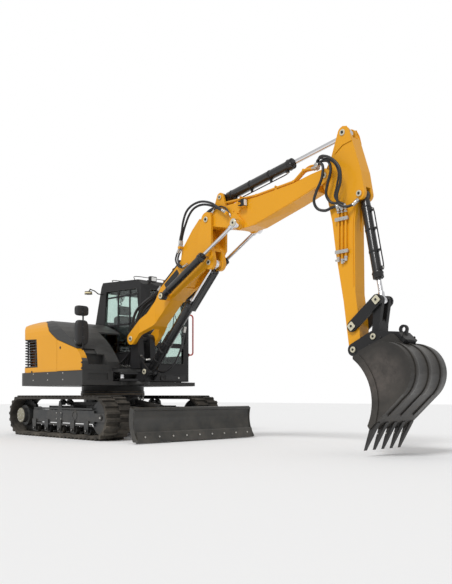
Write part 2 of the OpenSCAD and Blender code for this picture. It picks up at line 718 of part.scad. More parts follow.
door_hinge = [door_x0 - panel_gap / 2, cab_y[1] + hinge_r + 1];
door_hinge_z = [1080, 2080];
door_hinge_h = 120;
module cab_frame() color(black) {
    difference() {
        cab_body(0);
        cab_body(cab_t);
        translate([-1000, -1000, roof_z]) cube([3000, 3000, 1000]);
        window_cuts();
        side(cab_y[1] - cab_t - 10, cab_y[1] + 10) door_outline(panel_gap);
    }
    for (z = door_hinge_z) {
        translate([door_hinge[0], door_hinge[1], z]) hinge_outer(door_hinge_h);
        for (k = [0, 0.78]) translate([door_hinge[0] - 18, cab_y[1] - 4, z + k * door_hinge_h])
            cube([14, 16, 0.22 * door_hinge_h]);
    }
}
module cab_roof() color(black) difference() {
    intersection() {
        cab_body(0);
        translate([-1000, -1000, roof_z + seat_gap]) cube([3000, 3000, 1000]);
    }
    intersection() {
        cab_body(cab_t);
        translate([-1000, -1000, 0]) cube([3000, 3000, cab_top_z - 60]);
    }
}
glass_t = 6;
module cab_glass() color([0.6, 0.75, 0.7, 0.5]) intersection() {
    difference() {
        cab_body(20);
        cab_body(20 + glass_t);
    }
    window_cuts();
}
module cab_door() color(black) {
    difference() {
        side(cab_y[1] - cab_t, cab_y[1]) door_outline(0);
        side(cab_y[1] - cab_t - 1, cab_y[1] + 1) door_window();
    }
    for (z = door_hinge_z) {
        translate([door_hinge[0], door_hinge[1], z]) hinge_inner(door_hinge_h);
        translate([door_hinge[0] + 7, cab_y[1] - 4, z + 0.22 * door_hinge_h + 1])
            cube([11, 16, 0.56 * door_hinge_h - 2]);
    }
}
module door_glass() color([0.6, 0.75, 0.7, 0.5]) side(cab_y[1] - 30, cab_y[1] - 30 + glass_t) door_window();

// Seat and controls
seat_x = -60;
seat_y = (cab_y[0] + cab_y[1]) / 2;
seat_z = cab_floor_z + cab_t * 1.2 + seat_gap;
seat_base_h = 330;
cushion_h = 120;
module seat_base() color(black) translate([seat_x - 230, seat_y - 200, seat_z]) cube([460, 400, seat_base_h]);
module seat_cushion() color(charcoal) translate([seat_x - 240, seat_y - 245, seat_z + seat_base_h + seat_gap])
    cube([520, 490, cushion_h]);
module seat_back() color(charcoal) translate([seat_x - 238, seat_y - 240,
    seat_z + seat_base_h + cushion_h + 2 * seat_gap])
    rotate([0, -10, 0]) cube([110, 480, 640]);
module controls() color(black) for (s = [-1, 1]) {
    translate([seat_x - 150, seat_y + s * 330 - 70, seat_z]) cube([480, 140, 560]);
    translate([seat_x + 260, seat_y + s * 330, seat_z + 550]) cylinder(r = 18, h = 190);
    translate([600, seat_y + s * 90, seat_z]) cylinder(r = 14, h = 480);
}

// A bent tube through the points, a little thicker at its bends
bend_swell = 1.12;
module pipe(points, r) {
    for (i = [0:len(points) - 2]) {
        leg = points[i + 1] - points[i];
        translate(points[i]) rotate([0, acos(leg[2] / norm(leg)), atan2(leg[1], leg[0])])
            cylinder(r = r, h = norm(leg));
        if (i > 0) translate(points[i]) rotate([31, 17, 0]) sphere(r = r * bend_swell);
    }
}

// Work lamps on the roof's front edge, and the beacon on its stalk at the rear corner
beacon_at = [-430, -200];
beacon_z = cab_top_z - 190;
module lamps() color(black) {
    difference() {
        for (y = [cab_y[0] + 220, cab_y[1] - 220]) {
            translate([600, y - 12, cab_top_z - 60]) cube([120, 24, 24]);
            translate([700, y - 60, cab_top_z - 80]) cube([60, 120, 84]);
        }
        cab_body(-seat_gap);
    }
    pipe([[-350, cab_y[0] - seat_gap, beacon_z], [-350, -60, beacon_z], [-385, -110, beacon_z + 50],
        [-425, -170, beacon_z + 75], [beacon_at[0], beacon_at[1], beacon_z + 20]], 9);
    translate([beacon_at[0], beacon_at[1], beacon_z - 10]) cylinder(r = 62, h = 44);
}
mirror_x = 590;
mirror_y = -990;
module mirrors() color(black) difference() {
    union() {
        translate([mirror_x, mirror_y, 1330]) cylinder(r = 13, h = 620);
        translate([mirror_x, mirror_y, 1300]) cylinder(r = 45, h = 70);
        for (z = [[1395, 1765], [1830, 1980]]) for (x = [[0, 14], [14, 0]])
            translate([mirror_x - 45 + x[0], mirror_y - 108 + x[1], z[0] + x[1]])
                cube([x[0] + 31, 216 - 2 * x[1], z[1] - z[0] - 2 * x[1]]);
    }
    hood(-seat_gap);
}
rail_x = 752;
rail_r = 12;
rail_y = 1088;
rail_z = [1320, 1990];
rail_bend = 50;
module handrail() color([0.7, 0.15, 0.15]) for (z = rail_z) {
    side = z == rail_z[0] ? -1 : 1;
    translate([rail_x, cab_y[1] + seat_gap, z]) rotate([-90, 0, 0])
        cylinder(r = rail_r, h = rail_y - rail_bend - cab_y[1] - seat_gap);
    translate([rail_x, rail_y - rail_bend, z - side * rail_bend]) rotate([0, -90, 0])
        rotate([0, 0, side > 0 ? 0 : 90])
        rotate_extrude(angle = 90) translate([rail_bend, 0]) circle(r = rail_r);
    translate([rail_x, rail_y, (rail_z[0] + rail_z[1]) / 2]) mirror([0, 0, side > 0 ? 0 : 1])
        cylinder(r = rail_r, h = (rail_z[1] - rail_z[0]) / 2 - rail_bend);
}

// Swing cylinder, from the deck to the swing post
swing_eye = [swing_x, boom_y] + swing_eye_at;
swing_len = norm(swing_eye - swing_base);
module flat_along(a, b, z) translate([a[0], a[1], z]) rotate([0, 0, atan2(b[1] - a[1], b[0] - a[0])])
    rotate([0, 90, 0]) rotate([0, 0, 90]) children();
module swing_barrel() color(black) flat_along(swing_base, swing_eye, swing_z)
    barrel(small_r, small_rod_r, 700, 615, small_base_w, small_pin_r);
module swing_rod() color(steel) flat_along(swing_base, swing_eye, swing_z)
    rod(small_rod_r, 342, swing_len, small_eye_w, 40);

// Swing post: turns in the nose, carries the boom's foot and the lift cylinder's foot
post_z = nose_z[1] + nose_t + cheek_gap;
module swing_post() color(black) {
    // swing pin through both plates of the nose, and the block between them
    translate([swing_x, boom_y, nose_z[0] - 15]) cylinder(r = swing_pin_r, h = post_z - nose_z[0] + 40);
    translate([0, 0, nose_z[0] + nose_t + cheek_gap])
        linear_extrude(height = nose_z[1] - nose_z[0] - nose_t - 2 * cheek_gap) {
        translate([swing_x, boom_y]) circle(r = 105);
        translate([swing_x, boom_y - 108]) square([150, 216]);
    }
    // lever of the swing cylinder
    for (z = [nose_z[0] + nose_t + cheek_gap, swing_z + small_eye_w / 2 + cheek_gap])
        translate([0, 0, z])
            linear_extrude(height = swing_z - small_eye_w / 2 - nose_z[0] - nose_t - 2 * cheek_gap)
            strap([swing_x, boom_y], 100, swing_eye, 46);
    // head with a slot for the hoses
    difference() {
        side(boom_y - foot_half, boom_y + foot_half) {
            translate(foot_pin) circle(r = 86);
            polygon([[swing_x - 75, post_z], [swing_x + 148, post_z], [swing_x + 148, 1120],
                foot_pin + [84, -20],
                foot_pin + [-84, -20]]);
        }
        side(boom_y - 62, boom_y + 62) translate([800, 1130]) square([600, 700]);
    }
    // ears of the lift cylinder's foot
    for (k = [-1, 1]) {
        y = boom_y + k * (lift_foot_w / 2 + cheek_gap + 13);
        side(y - 13, y + 13) {
            translate(lift_foot) circle(r = 64);
            polygon([[swing_x + 128, nose_z[0] + nose_t + cheek_gap],
                [swing_x + 175, nose_z[0] + nose_t + cheek_gap],
                lift_foot + [54, -34], lift_foot + [50, 40], [swing_x + 148, 1150], [swing_x + 128, 1150]]);
        }
        bar(lift_foot, 46, min(y + k * 13, y + k * (13 + cap_t)), max(y + k * 13, y + k * (13 + cap_t)));
    }
    bar(lift_foot, pin_r, boom_y - lift_foot_w / 2 - 20, boom_y + lift_foot_w / 2 + 20);
    bar(foot_pin, pin_r, boom_y - foot_half - cheek_gap - leg_t - cap_t,
        boom_y + foot_half + cheek_gap + leg_t + cap_t);
}

// Lower boom: box, flared fork at the foot, cheeks of the joint and lugs of the lift cylinder
module lower_outline() {
    translate(foot_pin) circle(r = 88);
    polygon([foot_pin + [62, -62], foot_pin + [200, 65], foot_pin + [400, 170], foot_pin + [800, 515],
        foot_pin + [1480, 850], foot_pin + [1640, 1040], mid_pin + [70, -100], mid_pin + [-120, 90],
        foot_pin + [1250, 1440], foot_pin + [1040, 1200], foot_pin + [1010, 1040], foot_pin + [560, 715],
        foot_pin + [320, 360], foot_pin + [170, 240], foot_pin + [30, 135], foot_pin + [-62, 62]]);
}
module lower_plan() {
    out = foot_half + cheek_gap + leg_t;
    translate([foot_pin[0], boom_y]) difference() {
        polygon([[-100, -out], [210, -out], [440, -boom_half], [3000, -boom_half], [3000, boom_half],
            [440, boom_half],
            [210, out], [-100, out]]);
        polygon([[-200, leg_t - out], [170, leg_t - out], [330, -60], [330, 60], [170, out - leg_t],
            [-200, out - leg_t]]);
    }
}
// A plate or cap on each side of the boom, from y0 to y1 off its centre
module both(y0, y1) for (k = [-1, 1]) side(boom_y + (k > 0 ? y0 : -y1), boom_y + (k > 0 ? y1 : -y0))
    children();
fold_turn = -62;
module lower_boom() color(yellow) difference() {
    union() {
        difference() {
            intersection() {
                side(boom_y - 300, boom_y + 300) lower_outline();
                linear_extrude(height = 4000) lower_plan();
            }
            // room for the upper boom's root when it folds
            side(boom_y - 300, boom_y + 300) translate(mid_pin) rotate(fold_turn) translate([-900, -128])
                square([2000, 900]);
            // room for the lift cylinder's eye, and for its gland when it is drawn in
            side(boom_y - lift_eye_w / 2 - cheek_gap, boom_y + lift_eye_w / 2 + cheek_gap)
                translate(lift_eye + [-35, 50]) circle(r = 135);
            side(boom_y - lift_r - gland_t - cheek_gap, boom_y + lift_r + gland_t + cheek_gap)
                polygon([lift_eye + [-146, 62], lift_eye + [-260, -18], lift_eye + [-500, -270],
                    lift_eye + [-380, -540], lift_eye + [40, -120], lift_eye]);
        }
        both(boom_half, boom_half + ear_t) {
            translate(mid_pin) circle(r = 100);
            polygon([mid_pin + [-100, 0], mid_pin + [-150, -150], mid_pin + [-190, -420],
                mid_pin + [20, -500],
                mid_pin + [95, -400], mid_pin + [100, 0]]);
        }
        both(lift_eye_w / 2 + cheek_gap, boom_half) strap(lift_eye, 92, lift_eye + [-60, 150], 120);
        both(boom_half, boom_half + cap_t) translate(lift_eye) circle(r = 48);
        // base pins of the adjusting cylinders
        both(boom_half, adjust_y - adjust_base_w / 2 - cheek_gap) translate(adjust_base) circle(r = 52);
        both(boom_half, adjust_y + adjust_base_w / 2 + cap_t) translate(adjust_base) circle(r = adjust_pin_r);
        bar(mid_pin, pin_r, boom_y - boom_half - ear_t - cap_t, boom_y + boom_half + ear_t + cap_t);
        bar(lower_boss, hose_boss_r, boom_y - hose_boss_half, boom_y + hose_boss_half);
    }
    bar(foot_pin, pin_r + pin_gap, boom_y - 400, boom_y + 400);
}

// Lift cylinder
lift_len = norm(lift_eye - lift_foot);
module lift_barrel() color(black) along(lift_foot, lift_eye, boom_y)
    barrel(lift_r, lift_rod_r, 1310, 830, lift_foot_w, pin_r);
module lift_rod() color(steel) along(lift_foot, lift_eye, boom_y)
    rod(lift_rod_r, 1010, lift_len, lift_eye_w, 62);
// Guard in front of the rod, carried by the collar of its eye
guard_x = lift_r + gland_t + 13;
guard_t = 8;
guard_half = 54;
guard_len = 760;
module lift_guard() color(black) along(lift_foot, lift_eye, boom_y) difference() {
    union() {
        translate([guard_x, -guard_half, lift_len - guard_len])
            cube([guard_t, 2 * guard_half, guard_len - 72]);
        for (y = [-guard_half, guard_half - guard_t])
            translate([guard_x - 18, y, lift_len - guard_len]) cube([20, guard_t, guard_len - 110]);
        translate([20, -30, lift_len - 106]) cube([guard_x - 19, 60, 34]);
    }
    cylinder(r = lift_rod_r + 9 + seat_gap, h = lift_len);
}

// Upper boom
root_half = boom_half - cheek_gap;
module upper_outline() {
    translate(mid_pin) circle(r = 104);
    translate(arm_pin) circle(r = 80);
    polygon([mid_pin + [-60, 86], mid_pin + [-60, -86], mid_pin + [80, -100], mid_pin + [430, -180],
        mid_pin + [620, -230],
        mid_pin + [860, -220], mid_pin + [1480, -60], arm_pin + [30, -74], arm_pin + [0, 80],
            arm_pin + [-190, 60],
        mid_pin + [1490, 170], mid_pin + [890, 130], mid_pin + [400, 130]]);
}
module upper_boom() color(yellow) difference() {
    union() {
        difference() {
            side(boom_y - boom_half, boom_y + boom_half) upper_outline();
            // the root is narrower between the lower boom's cheeks
            both(root_half, boom_half + 1) translate(mid_pin) circle(r = 530);
            // slot of the arm between the fork's ears
            side(boom_y - arm_half - cheek_gap, boom_y + arm_half + cheek_gap)
                translate(arm_pin + [-170, -400]) square([600, 800]);
        }
        // ears of the arm cylinder's base
        both(arm_base_w / 2 + cheek_gap, arm_base_w / 2 + cheek_gap + 28)
            strap(arm_cyl_pin, 62, mid_pin + [200, 40], 140);
        bar(arm_cyl_pin, pin_r, boom_y - arm_base_w / 2 - 40, boom_y + arm_base_w / 2 + 40);
        // bosses of the adjusting cylinders' eyes, short of the eyes
        bar(adjust_eye, 62, boom_y - adjust_y + adjust_eye_w / 2 + cheek_gap,
            boom_y + adjust_y - adjust_eye_w / 2 - cheek_gap);
        both(boom_half, boom_half + 20) strap(adjust_eye, 74, adjust_eye + [-90, 110], 60);
        bar(arm_pin, pin_r, boom_y - boom_half - cap_t, boom_y + boom_half + cap_t);
        bar(upper_boss, hose_boss_r, boom_y - hose_boss_half, boom_y + hose_boss_half);
    }
    bar(mid_pin, pin_r + pin_gap, boom_y - 400, boom_y + 400);
}
lamp_at = mid_pin + [690, 40];
module boom_lamp() color(charcoal) difference() {
    union() {
        side(boom_y - boom_half - 74, boom_y - boom_half - 14) translate(lamp_at) square([50, 90]);
        side(boom_y - boom_half - 60, boom_y - boom_half - seat_gap) translate(lamp_at + [-70, 20])
            square([80, 60]);
    }
    side(boom_y - boom_half - 60, boom_y - boom_half - 8) translate(lamp_at + [-80, 30]) square([70, 40]);
}
pipe_r = 14;
module side_pipe(points, y, r) {
    for (i = [0:len(points) - 2])
        along(points[i], points[i + 1], y) cylinder(r = r, h = norm(points[i + 1] - points[i]));
    for (i = [1:len(points) - 2]) bar(points[i], r * bend_swell, y - r - 1, y + r + 1);
}
boom_pipe_y = boom_y - boom_half + 20;
boom_pipe_gap = 42;
boom_pipe_end = [1800, 290];
module boom_pipes() color(yellow) for (k = [0, 1]) {
    y = boom_pipe_y + k * boom_pipe_gap;
    side_pipe([for (p = [[330, 175], [880, 160], [1490, 200], [1640, 300], boom_pipe_end]) mid_pin + p], y,
        pipe_r);
    // clamps on the boom's top
    for (x = [[600, 130 + seat_gap], [1200, 153]]) translate([mid_pin[0] + x[0], y - 12, mid_pin[1] + x[1]])
        cube([24, 24, 40]);
}

// Hydraulic hoses: each bends from one fitting to the next through two guide points
hose_r = 13;
hose_sides = 8;
hose_rings = 14;
function unit(v) = v / norm(v);
function bend_point(p, t) = (1 - t) ^ 3 * p[0] + 3 * (1 - t) ^ 2 * t * p[1] + 3 * (1 - t) * t ^ 2 * p[2]
    + t ^ 3 * p[3];
function bend_way(p, t) = unit((1 - t) ^ 2 * (p[1] - p[0]) + 2 * (1 - t) * t * (p[2] - p[1])
    + t ^ 2 * (p[3] - p[2]));
module hose(p) {
    last = hose_rings - 1;
    points = [for (i = [0:last]) let (c = bend_point(p, i / last), w = bend_way(p, i / last),
        a = unit([0, 1, 0] - w[1] * w), b = cross(w, a)) for (k = [0:hose_sides - 1])
        c + hose_r * (cos(360 * k / hose_sides) * a + sin(360 * k / hose_sides) * b)];
    walls = [for (i = [0:last - 1]) for (k = [0:hose_sides - 1])
        let (m = (k + 1) % hose_sides, j = i * hose_sides) each [[j + k, j + hose_sides + m, j + m],
            [j + k, j + hose_sides + k, j + hose_sides + m]]];
    polyhedron(points, concat([[for (k = [0:hose_sides - 1]) k]], walls,
        [[for (k = [hose_sides - 1:-1:0]) last * hose_sides + k]]));
}
// Ends of the hoses that pass the mid joint, from the boom's centre outwards
hose_out = [140, 170];
hose_boss_half = hose_out[1] + hose_r + 2;
hose_boss_r = 22;
upper_boss = mid_pin + [400, 10];
lower_boss = foot_pin + [1050, 1225];
module mid_hoses() color(black) for (k = [-1, 1]) for (out = hose_out) {
    y = boom_y + k * out;
    from = upper_boss + (hose_boss_r + seat_gap) * unit([-290, 340]);
    to = lower_boss + (hose_boss_r + seat_gap) * [0, 1];
    hose([[from[0], y, from[1]], [from[0] - 290, y, from[1] + 340], [to[0] - 40, y, to[1] + 640],
        [to[0], y, to[1]]]);
}
// Pipes on the arm's side: top of the first one, pitch, length and distance from the arm
arm_pipe_top = arm_pin + [190, -440];
arm_pipe_step = 50;
arm_pipe_len = 560;
arm_pipe_off = 6;
arm_pipe_y = boom_y - arm_half - pipe_r - arm_pipe_off;
module arm_hoses() color(black) for (k = [0, 1]) {
    from = mid_pin + boom_pipe_end;
    to = arm_pipe_top + [(1 - k) * arm_pipe_step, 0];
    out_y = boom_y - boom_half - 100 + 60 * k;
    hose([[from[0] + pipe_r + seat_gap, boom_pipe_y + k * boom_pipe_gap, from[1]],
        [from[0] + 230, out_y, from[1] + 60],
        [to[0], arm_pipe_y, to[1] + 400], [to[0], arm_pipe_y, to[1] + seat_gap]]);
}

// Adjusting cylinders, one on each side of the boom
adjust_len = norm(adjust_eye - adjust_base);
module adjust_barrels() color(black) for (k = [-1, 1])
    along(adjust_base, adjust_eye, boom_y + k * adjust_y) barrel(adjust_r, adjust_rod_r, 950, 700,
        adjust_base_w, adjust_pin_r);
module adjust_rods() color(steel) for (k = [-1, 1])
    along(adjust_base, adjust_eye, boom_y + k * adjust_y) rod(adjust_rod_r, 740, adjust_len, adjust_eye_w,
        56);

// Arm
module arm_outline() {
    translate(arm_pin) circle(r = 82);
    translate(arm_eye) circle(r = 74);
    translate(bucket_cyl_pin) circle(r = 66);
    translate(bucket_pin) circle(r = 76);
    polygon([arm_pin + [-70, -40], arm_pin + [20, -260], arm_pin + [90, -560], arm_pin + [140, -930],
        arm_pin + [240, -1470],
        bucket_pin + [-75, 10], bucket_pin + [76, 0], arm_pin + [445, -1700], arm_pin + [400, -1400],
            arm_pin + [395, -640],
        bucket_cyl_pin + [-40, -60], bucket_cyl_pin + [66, 10], arm_pin + [480, -40], arm_pin + [350, 370],
        arm_eye + [40, 62], arm_eye + [-66, 34], arm_pin + [70, 180]]);
}
module arm() color(yellow) difference() {
    union() {
        difference() {
            side(boom_y - arm_half, boom_y + arm_half) arm_outline();
            // room for the arm cylinder's eye between the ears
            side(boom_y - arm_eye_w / 2 - cheek_gap, boom_y + arm_eye_w / 2 + cheek_gap) {
                translate(arm_eye + [45, 65]) circle(r = 150);
                translate(arm_eye + [-400, -150]) square([400, 500]);
            }
            // room for the bucket cylinder's base between its ears
            side(boom_y - bucket_base_w / 2 - cheek_gap, boom_y + bucket_base_w / 2 + cheek_gap)
                translate(bucket_cyl_pin + [-72, -400]) square([300, 476]);
        }
        bar(bucket_cyl_pin, pin_r, boom_y - arm_half - cap_t, boom_y + arm_half + cap_t);
        both(arm_half, arm_half + cap_t) translate(arm_eye) circle(r = 46);
    }
    bar(arm_pin, pin_r + pin_gap, boom_y - 400, boom_y + 400);
    bar(rocker_foot, link_pin_r + pin_gap, boom_y - 400, boom_y + 400);
    bar(bucket_pin, pin_r + pin_gap, boom_y - 400, boom_y + 400);
}
module arm_pipes() color(yellow) for (k = [0:2]) {
    x = arm_pipe_top[0] + k * arm_pipe_step;
    translate([x, arm_pipe_y, arm_pipe_top[1] - arm_pipe_len]) cylinder(r = pipe_r - 3, h = arm_pipe_len);
    for (down = [120, 490]) translate([x - 20, arm_pipe_y, arm_pipe_top[1] - down])
        cube([40, pipe_r + arm_pipe_off - seat_gap, 24]);
}

// Arm cylinder
arm_len = norm(arm_eye - arm_cyl_pin);
module arm_barrel() color(black) along(arm_cyl_pin, arm_eye, boom_y)
    barrel(arm_r, arm_rod_r, 1200, 820, arm_base_w, pin_r);
module arm_rod() color(steel) along(arm_cyl_pin, arm_eye, boom_y) rod(arm_rod_r, 760, arm_len, arm_eye_w, 62);

// Bucket cylinder
bucket_len = norm(rocker_head - bucket_cyl_pin);
module bucket_barrel() color(black) along(bucket_cyl_pin, rocker_head, boom_y)
    barrel(bucket_r, bucket_rod_r, 970, 800, bucket_base_w, pin_r);
module bucket_rod() color(steel) along(bucket_cyl_pin, rocker_head, boom_y)
    rod(bucket_rod_r, 300, bucket_len, bucket_eye_w, 50);

// Rocker: a pair of levers beside the arm, on one foot pin
lever_y = [arm_half + cheek_gap, arm_half + cheek_gap + 26];
link_in = bucket_eye_w / 2 + cheek_gap;
module rocker() color(black) {
    both(lever_y[0], lever_y[1]) strap(rocker_foot, 62, rocker_head, 62);
    both(lever_y[1], lever_y[1] + cap_t) {
        translate(rocker_foot) circle(r = 40);
        translate(rocker_head) circle(r = 40);
    }
    bar(rocker_foot, link_pin_r, boom_y - lever_y[0] - 1, boom_y + lever_y[0] + 1);
    // head pins end short of the cylinder's eye
    both(link_in, lever_y[0] + 1) translate(rocker_head) circle(r = link_pin_r);
}

// Link between the rocker and the coupler
module link() color(black) difference() {
    union() {
        both(link_in, arm_half) strap(rocker_head, 56, rocker_head + 0.75 * (link_pin - rocker_head), 40);
        side(boom_y - arm_half, boom_y + arm_half) strap(rocker_head + 0.6 * (link_pin - rocker_head), 42,
            link_pin, 48);
    }
    bar(rocker_head, link_pin_r + pin_gap, boom_y - 200, boom_y + 200);
}

// Coupler: two side plates on the arm's pin, hooks round the bucket's pins, and the lifting ring
ring_at = [560, 195];
hook_pins = [bucket_pin + [125, -62], bucket_pin + [500, 88]];
hook_pin_r = 30;
ring_r_in = 27;
module coupler_outline() difference() {
    union() {
        translate(bucket_pin) circle(r = 72);
        translate(link_pin) circle(r = 66);
        translate(hook_pins[0]) circle(r = 56);
        polygon([bucket_pin + [-30, 65], link_pin + [-30, 60], link_pin + [40, 60], bucket_pin + [560, 165],
            bucket_pin + [650, 80],
            bucket_pin + [600, 20], bucket_pin + [180, -70], bucket_pin + [0, -72]]);
    }
    bucket_outline(-seat_gap);
}
module coupler() color(black) difference() {
    union() {
        both(lever_y[0], lever_y[1]) coupler_outline();
        both(lever_y[1], lever_y[1] + cap_t) {
            translate(bucket_pin) circle(r = 46);
            translate(link_pin) circle(r = 40);
        }
        side(boom_y - lever_y[0] - 1, boom_y + lever_y[0] + 1) intersection() {
            coupler_outline();
            translate(bucket_pin + [430, -100]) square([400, 400]);
        }
        bar(bucket_pin, pin_r, boom_y - lever_y[0] - 1, boom_y + lever_y[0] + 1);
        // lifting ring
        side(boom_y - 18, boom_y + 18) {
            translate(bucket_pin + ring_at) circle(r = 50);
            translate(bucket_pin + ring_at + [-45, -60]) square([90, 60]);
        }
    }
    bar(bucket_pin + ring_at, ring_r_in, boom_y - 40, boom_y + 40);
    for (p = hook_pins) bar(p, hook_pin_r + pin_gap, boom_y - 200, boom_y + 200);
    side(boom_y - strip_half - 1, boom_y + strip_half + 1)
        translate(shell_c) circle(r = shell_r + strip_t + seat_gap, $fn = 120);
}

// Bucket: rolled shell, floor, side plates, ears with their pins, wear strips
shell_c = bucket_pin + [540, -270];
shell_r = 315;
mouth_c = bucket_pin + [-160, -580];
mouth_r = 565;
lip = bucket_pin + [375, -860];
plate_t = 16;
strip_t = 12;
strip_half = 32;
floor_turn = atan2(shell_c[1] - lip[1], shell_c[0] - lip[0]) - asin(shell_r / norm(lip - shell_c));
floor_out = [sin(floor_turn), -cos(floor_turn)];
floor_at = shell_c + shell_r * floor_out;
module bucket_outline(d) difference() {
    union() {
        translate(shell_c) circle(r = shell_r - d, $fn = 120);
        polygon([lip - d * floor_out, floor_at - d * floor_out, shell_c + (shell_r - d) * [-sin(25), cos(25)],
            bucket_pin + [170, -95 - d], bucket_pin + [200, -600]]);
    }
    translate(mouth_c) circle(r = mouth_r, $fn = 120);
}
module bucket() color(black) {
    half = bucket_w / 2 - 12;
    difference() {
        side(boom_y - half, boom_y + half) bucket_outline(0);
        side(boom_y - half + side_t, boom_y + half - side_t) bucket_outline(plate_t);
    }
    // side cutters along the mouth
    both(half, half + 12) intersection() {
        bucket_outline(0);
        translate(mouth_c) circle(r = mouth_r + 75, $fn = 120);
    }
    // wear strips on the back and the floor
    for (k = [-1, 0, 1]) side(boom_y + k * 250 - strip_half, boom_y + k * 250 + strip_half) difference() {
        union() {
            translate(shell_c) circle(r = shell_r + strip_t, $fn = 120);
            polygon([lip + [150, 140] + strip_t * floor_out, floor_at + strip_t * floor_out, shell_c]);
        }
        bucket_outline(1);
        translate(shell_c + [-600, -200]) square([600, 1200]);
        translate(mouth_c) circle(r = mouth_r, $fn = 120);
        polygon([shell_c, shell_c + [-900, 0], shell_c + [-900, -900], lip + [150, 140]]);
    }
    // ears outside the coupler, with the pins that its hooks hold
    both(lever_y[1] + cap_t + 3, lever_y[1] + cap_t + 29) difference() {
        union() {
            strap(hook_pins[0], 52, hook_pins[1], 56);
            polygon([hook_pins[0] + [0, -52], hook_pins[0] + [200, -80], shell_c + [-40, 0],
                shell_c + [120, shell_r - 40], hook_pins[1] + [40, 40]]);
        }
        bucket_outline(1);
        translate(mouth_c) circle(r = mouth_r, $fn = 120);
    }
    for (p = hook_pins) bar(p, hook_pin_r, boom_y - lever_y[1] - cap_t - 4, boom_y + lever_y[1] + cap_t + 4);
}
// Teeth: wedges under the lip
tip = bucket_pin + [290, -1090];
tooth_w = 62;
module bucket_teeth() color(black) {
    pitch = (bucket_w - 100) / (tooth_count - 1);
    back = lip + 110 * [cos(floor_turn), sin(floor_turn)];
    for (i = [0:tooth_count - 1]) translate([0, boom_y - (bucket_w - 100) / 2 + i * pitch, 0])
        side(-tooth_w / 2, tooth_w / 2) polygon([tip, lip - plate_t * floor_out, lip, back,
            back + 10 * floor_out, lip + [40, -14]]);
}

track_frame();
track_right();
track_left();
sprockets();
rollers();
blade();
blade_barrel();
blade_rod();
deck();
counterweight();
engine_block();
corner_panels();
grille();
top_hood();
tank_box();
engine_hood();
side_door();
cab_frame();
cab_roof();
cab_glass();
cab_door();
door_glass();
seat_base();
seat_cushion();
seat_back();
controls();
lamps();
mirrors();
handrail();
swing_barrel();
swing_rod();
swing_post();
lower_boom();
lift_barrel();
lift_rod();
lift_guard();
upper_boom();
boom_lamp();
boom_pipes();
mid_hoses();
arm_hoses();
adjust_barrels();
adjust_rods();
arm();
arm_pipes();
arm_barrel();
arm_rod();
bucket_barrel();
bucket_rod();
rocker();
link();
coupler();
bucket();
bucket_teeth();
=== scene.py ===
import math

import bmesh
import bpy
from mathutils import Matrix, Vector


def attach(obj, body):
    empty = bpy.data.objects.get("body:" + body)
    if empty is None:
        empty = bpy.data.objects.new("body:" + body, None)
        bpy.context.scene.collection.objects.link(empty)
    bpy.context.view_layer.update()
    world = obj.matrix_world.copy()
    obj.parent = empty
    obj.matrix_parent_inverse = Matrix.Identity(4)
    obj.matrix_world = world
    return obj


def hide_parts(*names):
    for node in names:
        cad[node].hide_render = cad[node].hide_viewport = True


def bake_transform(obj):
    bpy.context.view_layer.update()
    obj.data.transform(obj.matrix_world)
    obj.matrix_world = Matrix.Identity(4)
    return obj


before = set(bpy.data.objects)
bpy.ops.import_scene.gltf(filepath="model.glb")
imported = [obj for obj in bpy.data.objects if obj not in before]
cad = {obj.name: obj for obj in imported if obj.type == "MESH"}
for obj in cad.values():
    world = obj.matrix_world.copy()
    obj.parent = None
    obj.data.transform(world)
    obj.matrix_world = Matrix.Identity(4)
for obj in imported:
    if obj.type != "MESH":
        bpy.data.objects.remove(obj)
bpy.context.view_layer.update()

# Camera, floor and light
# The camera stands low in front of the machine's right corner, as in the photograph. A pale
# floor and one wide soft lamp with an even sky show each colour about as it is written.
camera = bpy.data.objects.new("camera", bpy.data.cameras.new("camera"))
camera.data.lens = 42.48
camera.data.shift_y = 0.148
camera.location = (9.37, -6.648, 0.642)
camera.rotation_euler = (math.radians(91.43), 0, math.radians(45.33))
bpy.context.collection.objects.link(camera)
bpy.context.scene.camera = camera
bpy.context.scene.view_settings.view_transform = "Standard"


def plain_material(name):
    """A new material, its node tree and its shader."""
    made = bpy.data.materials.new(name)
    made.use_nodes = True
    return made, made.node_tree, made.node_tree.nodes["Principled BSDF"]


def add_node(tree, kind, **values):
    """A node with its settings and its inputs' values."""
    made = tree.nodes.new(kind)
    for key, value in values.items():
        if hasattr(made, key):
            setattr(made, key, value)
        else:
            made.inputs[key.replace("_", " ")].default_value = value
    return made


def feed(tree, value, socket):
    """Sets the socket to a number or a colour, or links another socket to it."""
    if isinstance(value, (int, float, tuple)):
        socket.default_value = value
    else:
        tree.links.new(value, socket)


def ranged(tree, value, **limits):
    """Maps a value from one range to another."""
    made = tree.nodes.new("ShaderNodeMapRange")
    feed(tree, value, made.inputs["Value"])
    for key, limit in limits.items():
        feed(tree, limit, made.inputs[key.replace("_", " ")])
    return made.outputs[0]


def maths(tree, operation, first, second=0.0, clamp=False):
    """The result of a sum on two values or sockets."""
    made = add_node(tree, "ShaderNodeMath", operation=operation, use_clamp=clamp)
    feed(tree, first, made.inputs[0])
    feed(tree, second, made.inputs[1])
    return made.outputs[0]


FLOOR_HALF = 40.0
floor_mesh = bpy.data.meshes.new("floor")
corners = [(x * FLOOR_HALF, y * FLOOR_HALF, 0) for x, y in ((-1, -1), (1, -1), (1, 1), (-1, 1))]
floor_mesh.from_pydata(corners, [], [(0, 1, 2, 3)])
floor = bpy.data.objects.new("floor", floor_mesh)
bpy.context.collection.objects.link(floor)
floor_paint, tree, shader = plain_material("pale_floor")
shader.inputs["Base Color"].default_value = (0.86, 0.86, 0.86, 1)
shader.inputs["Roughness"].default_value = 0.9
floor_mesh.materials.append(floor_paint)

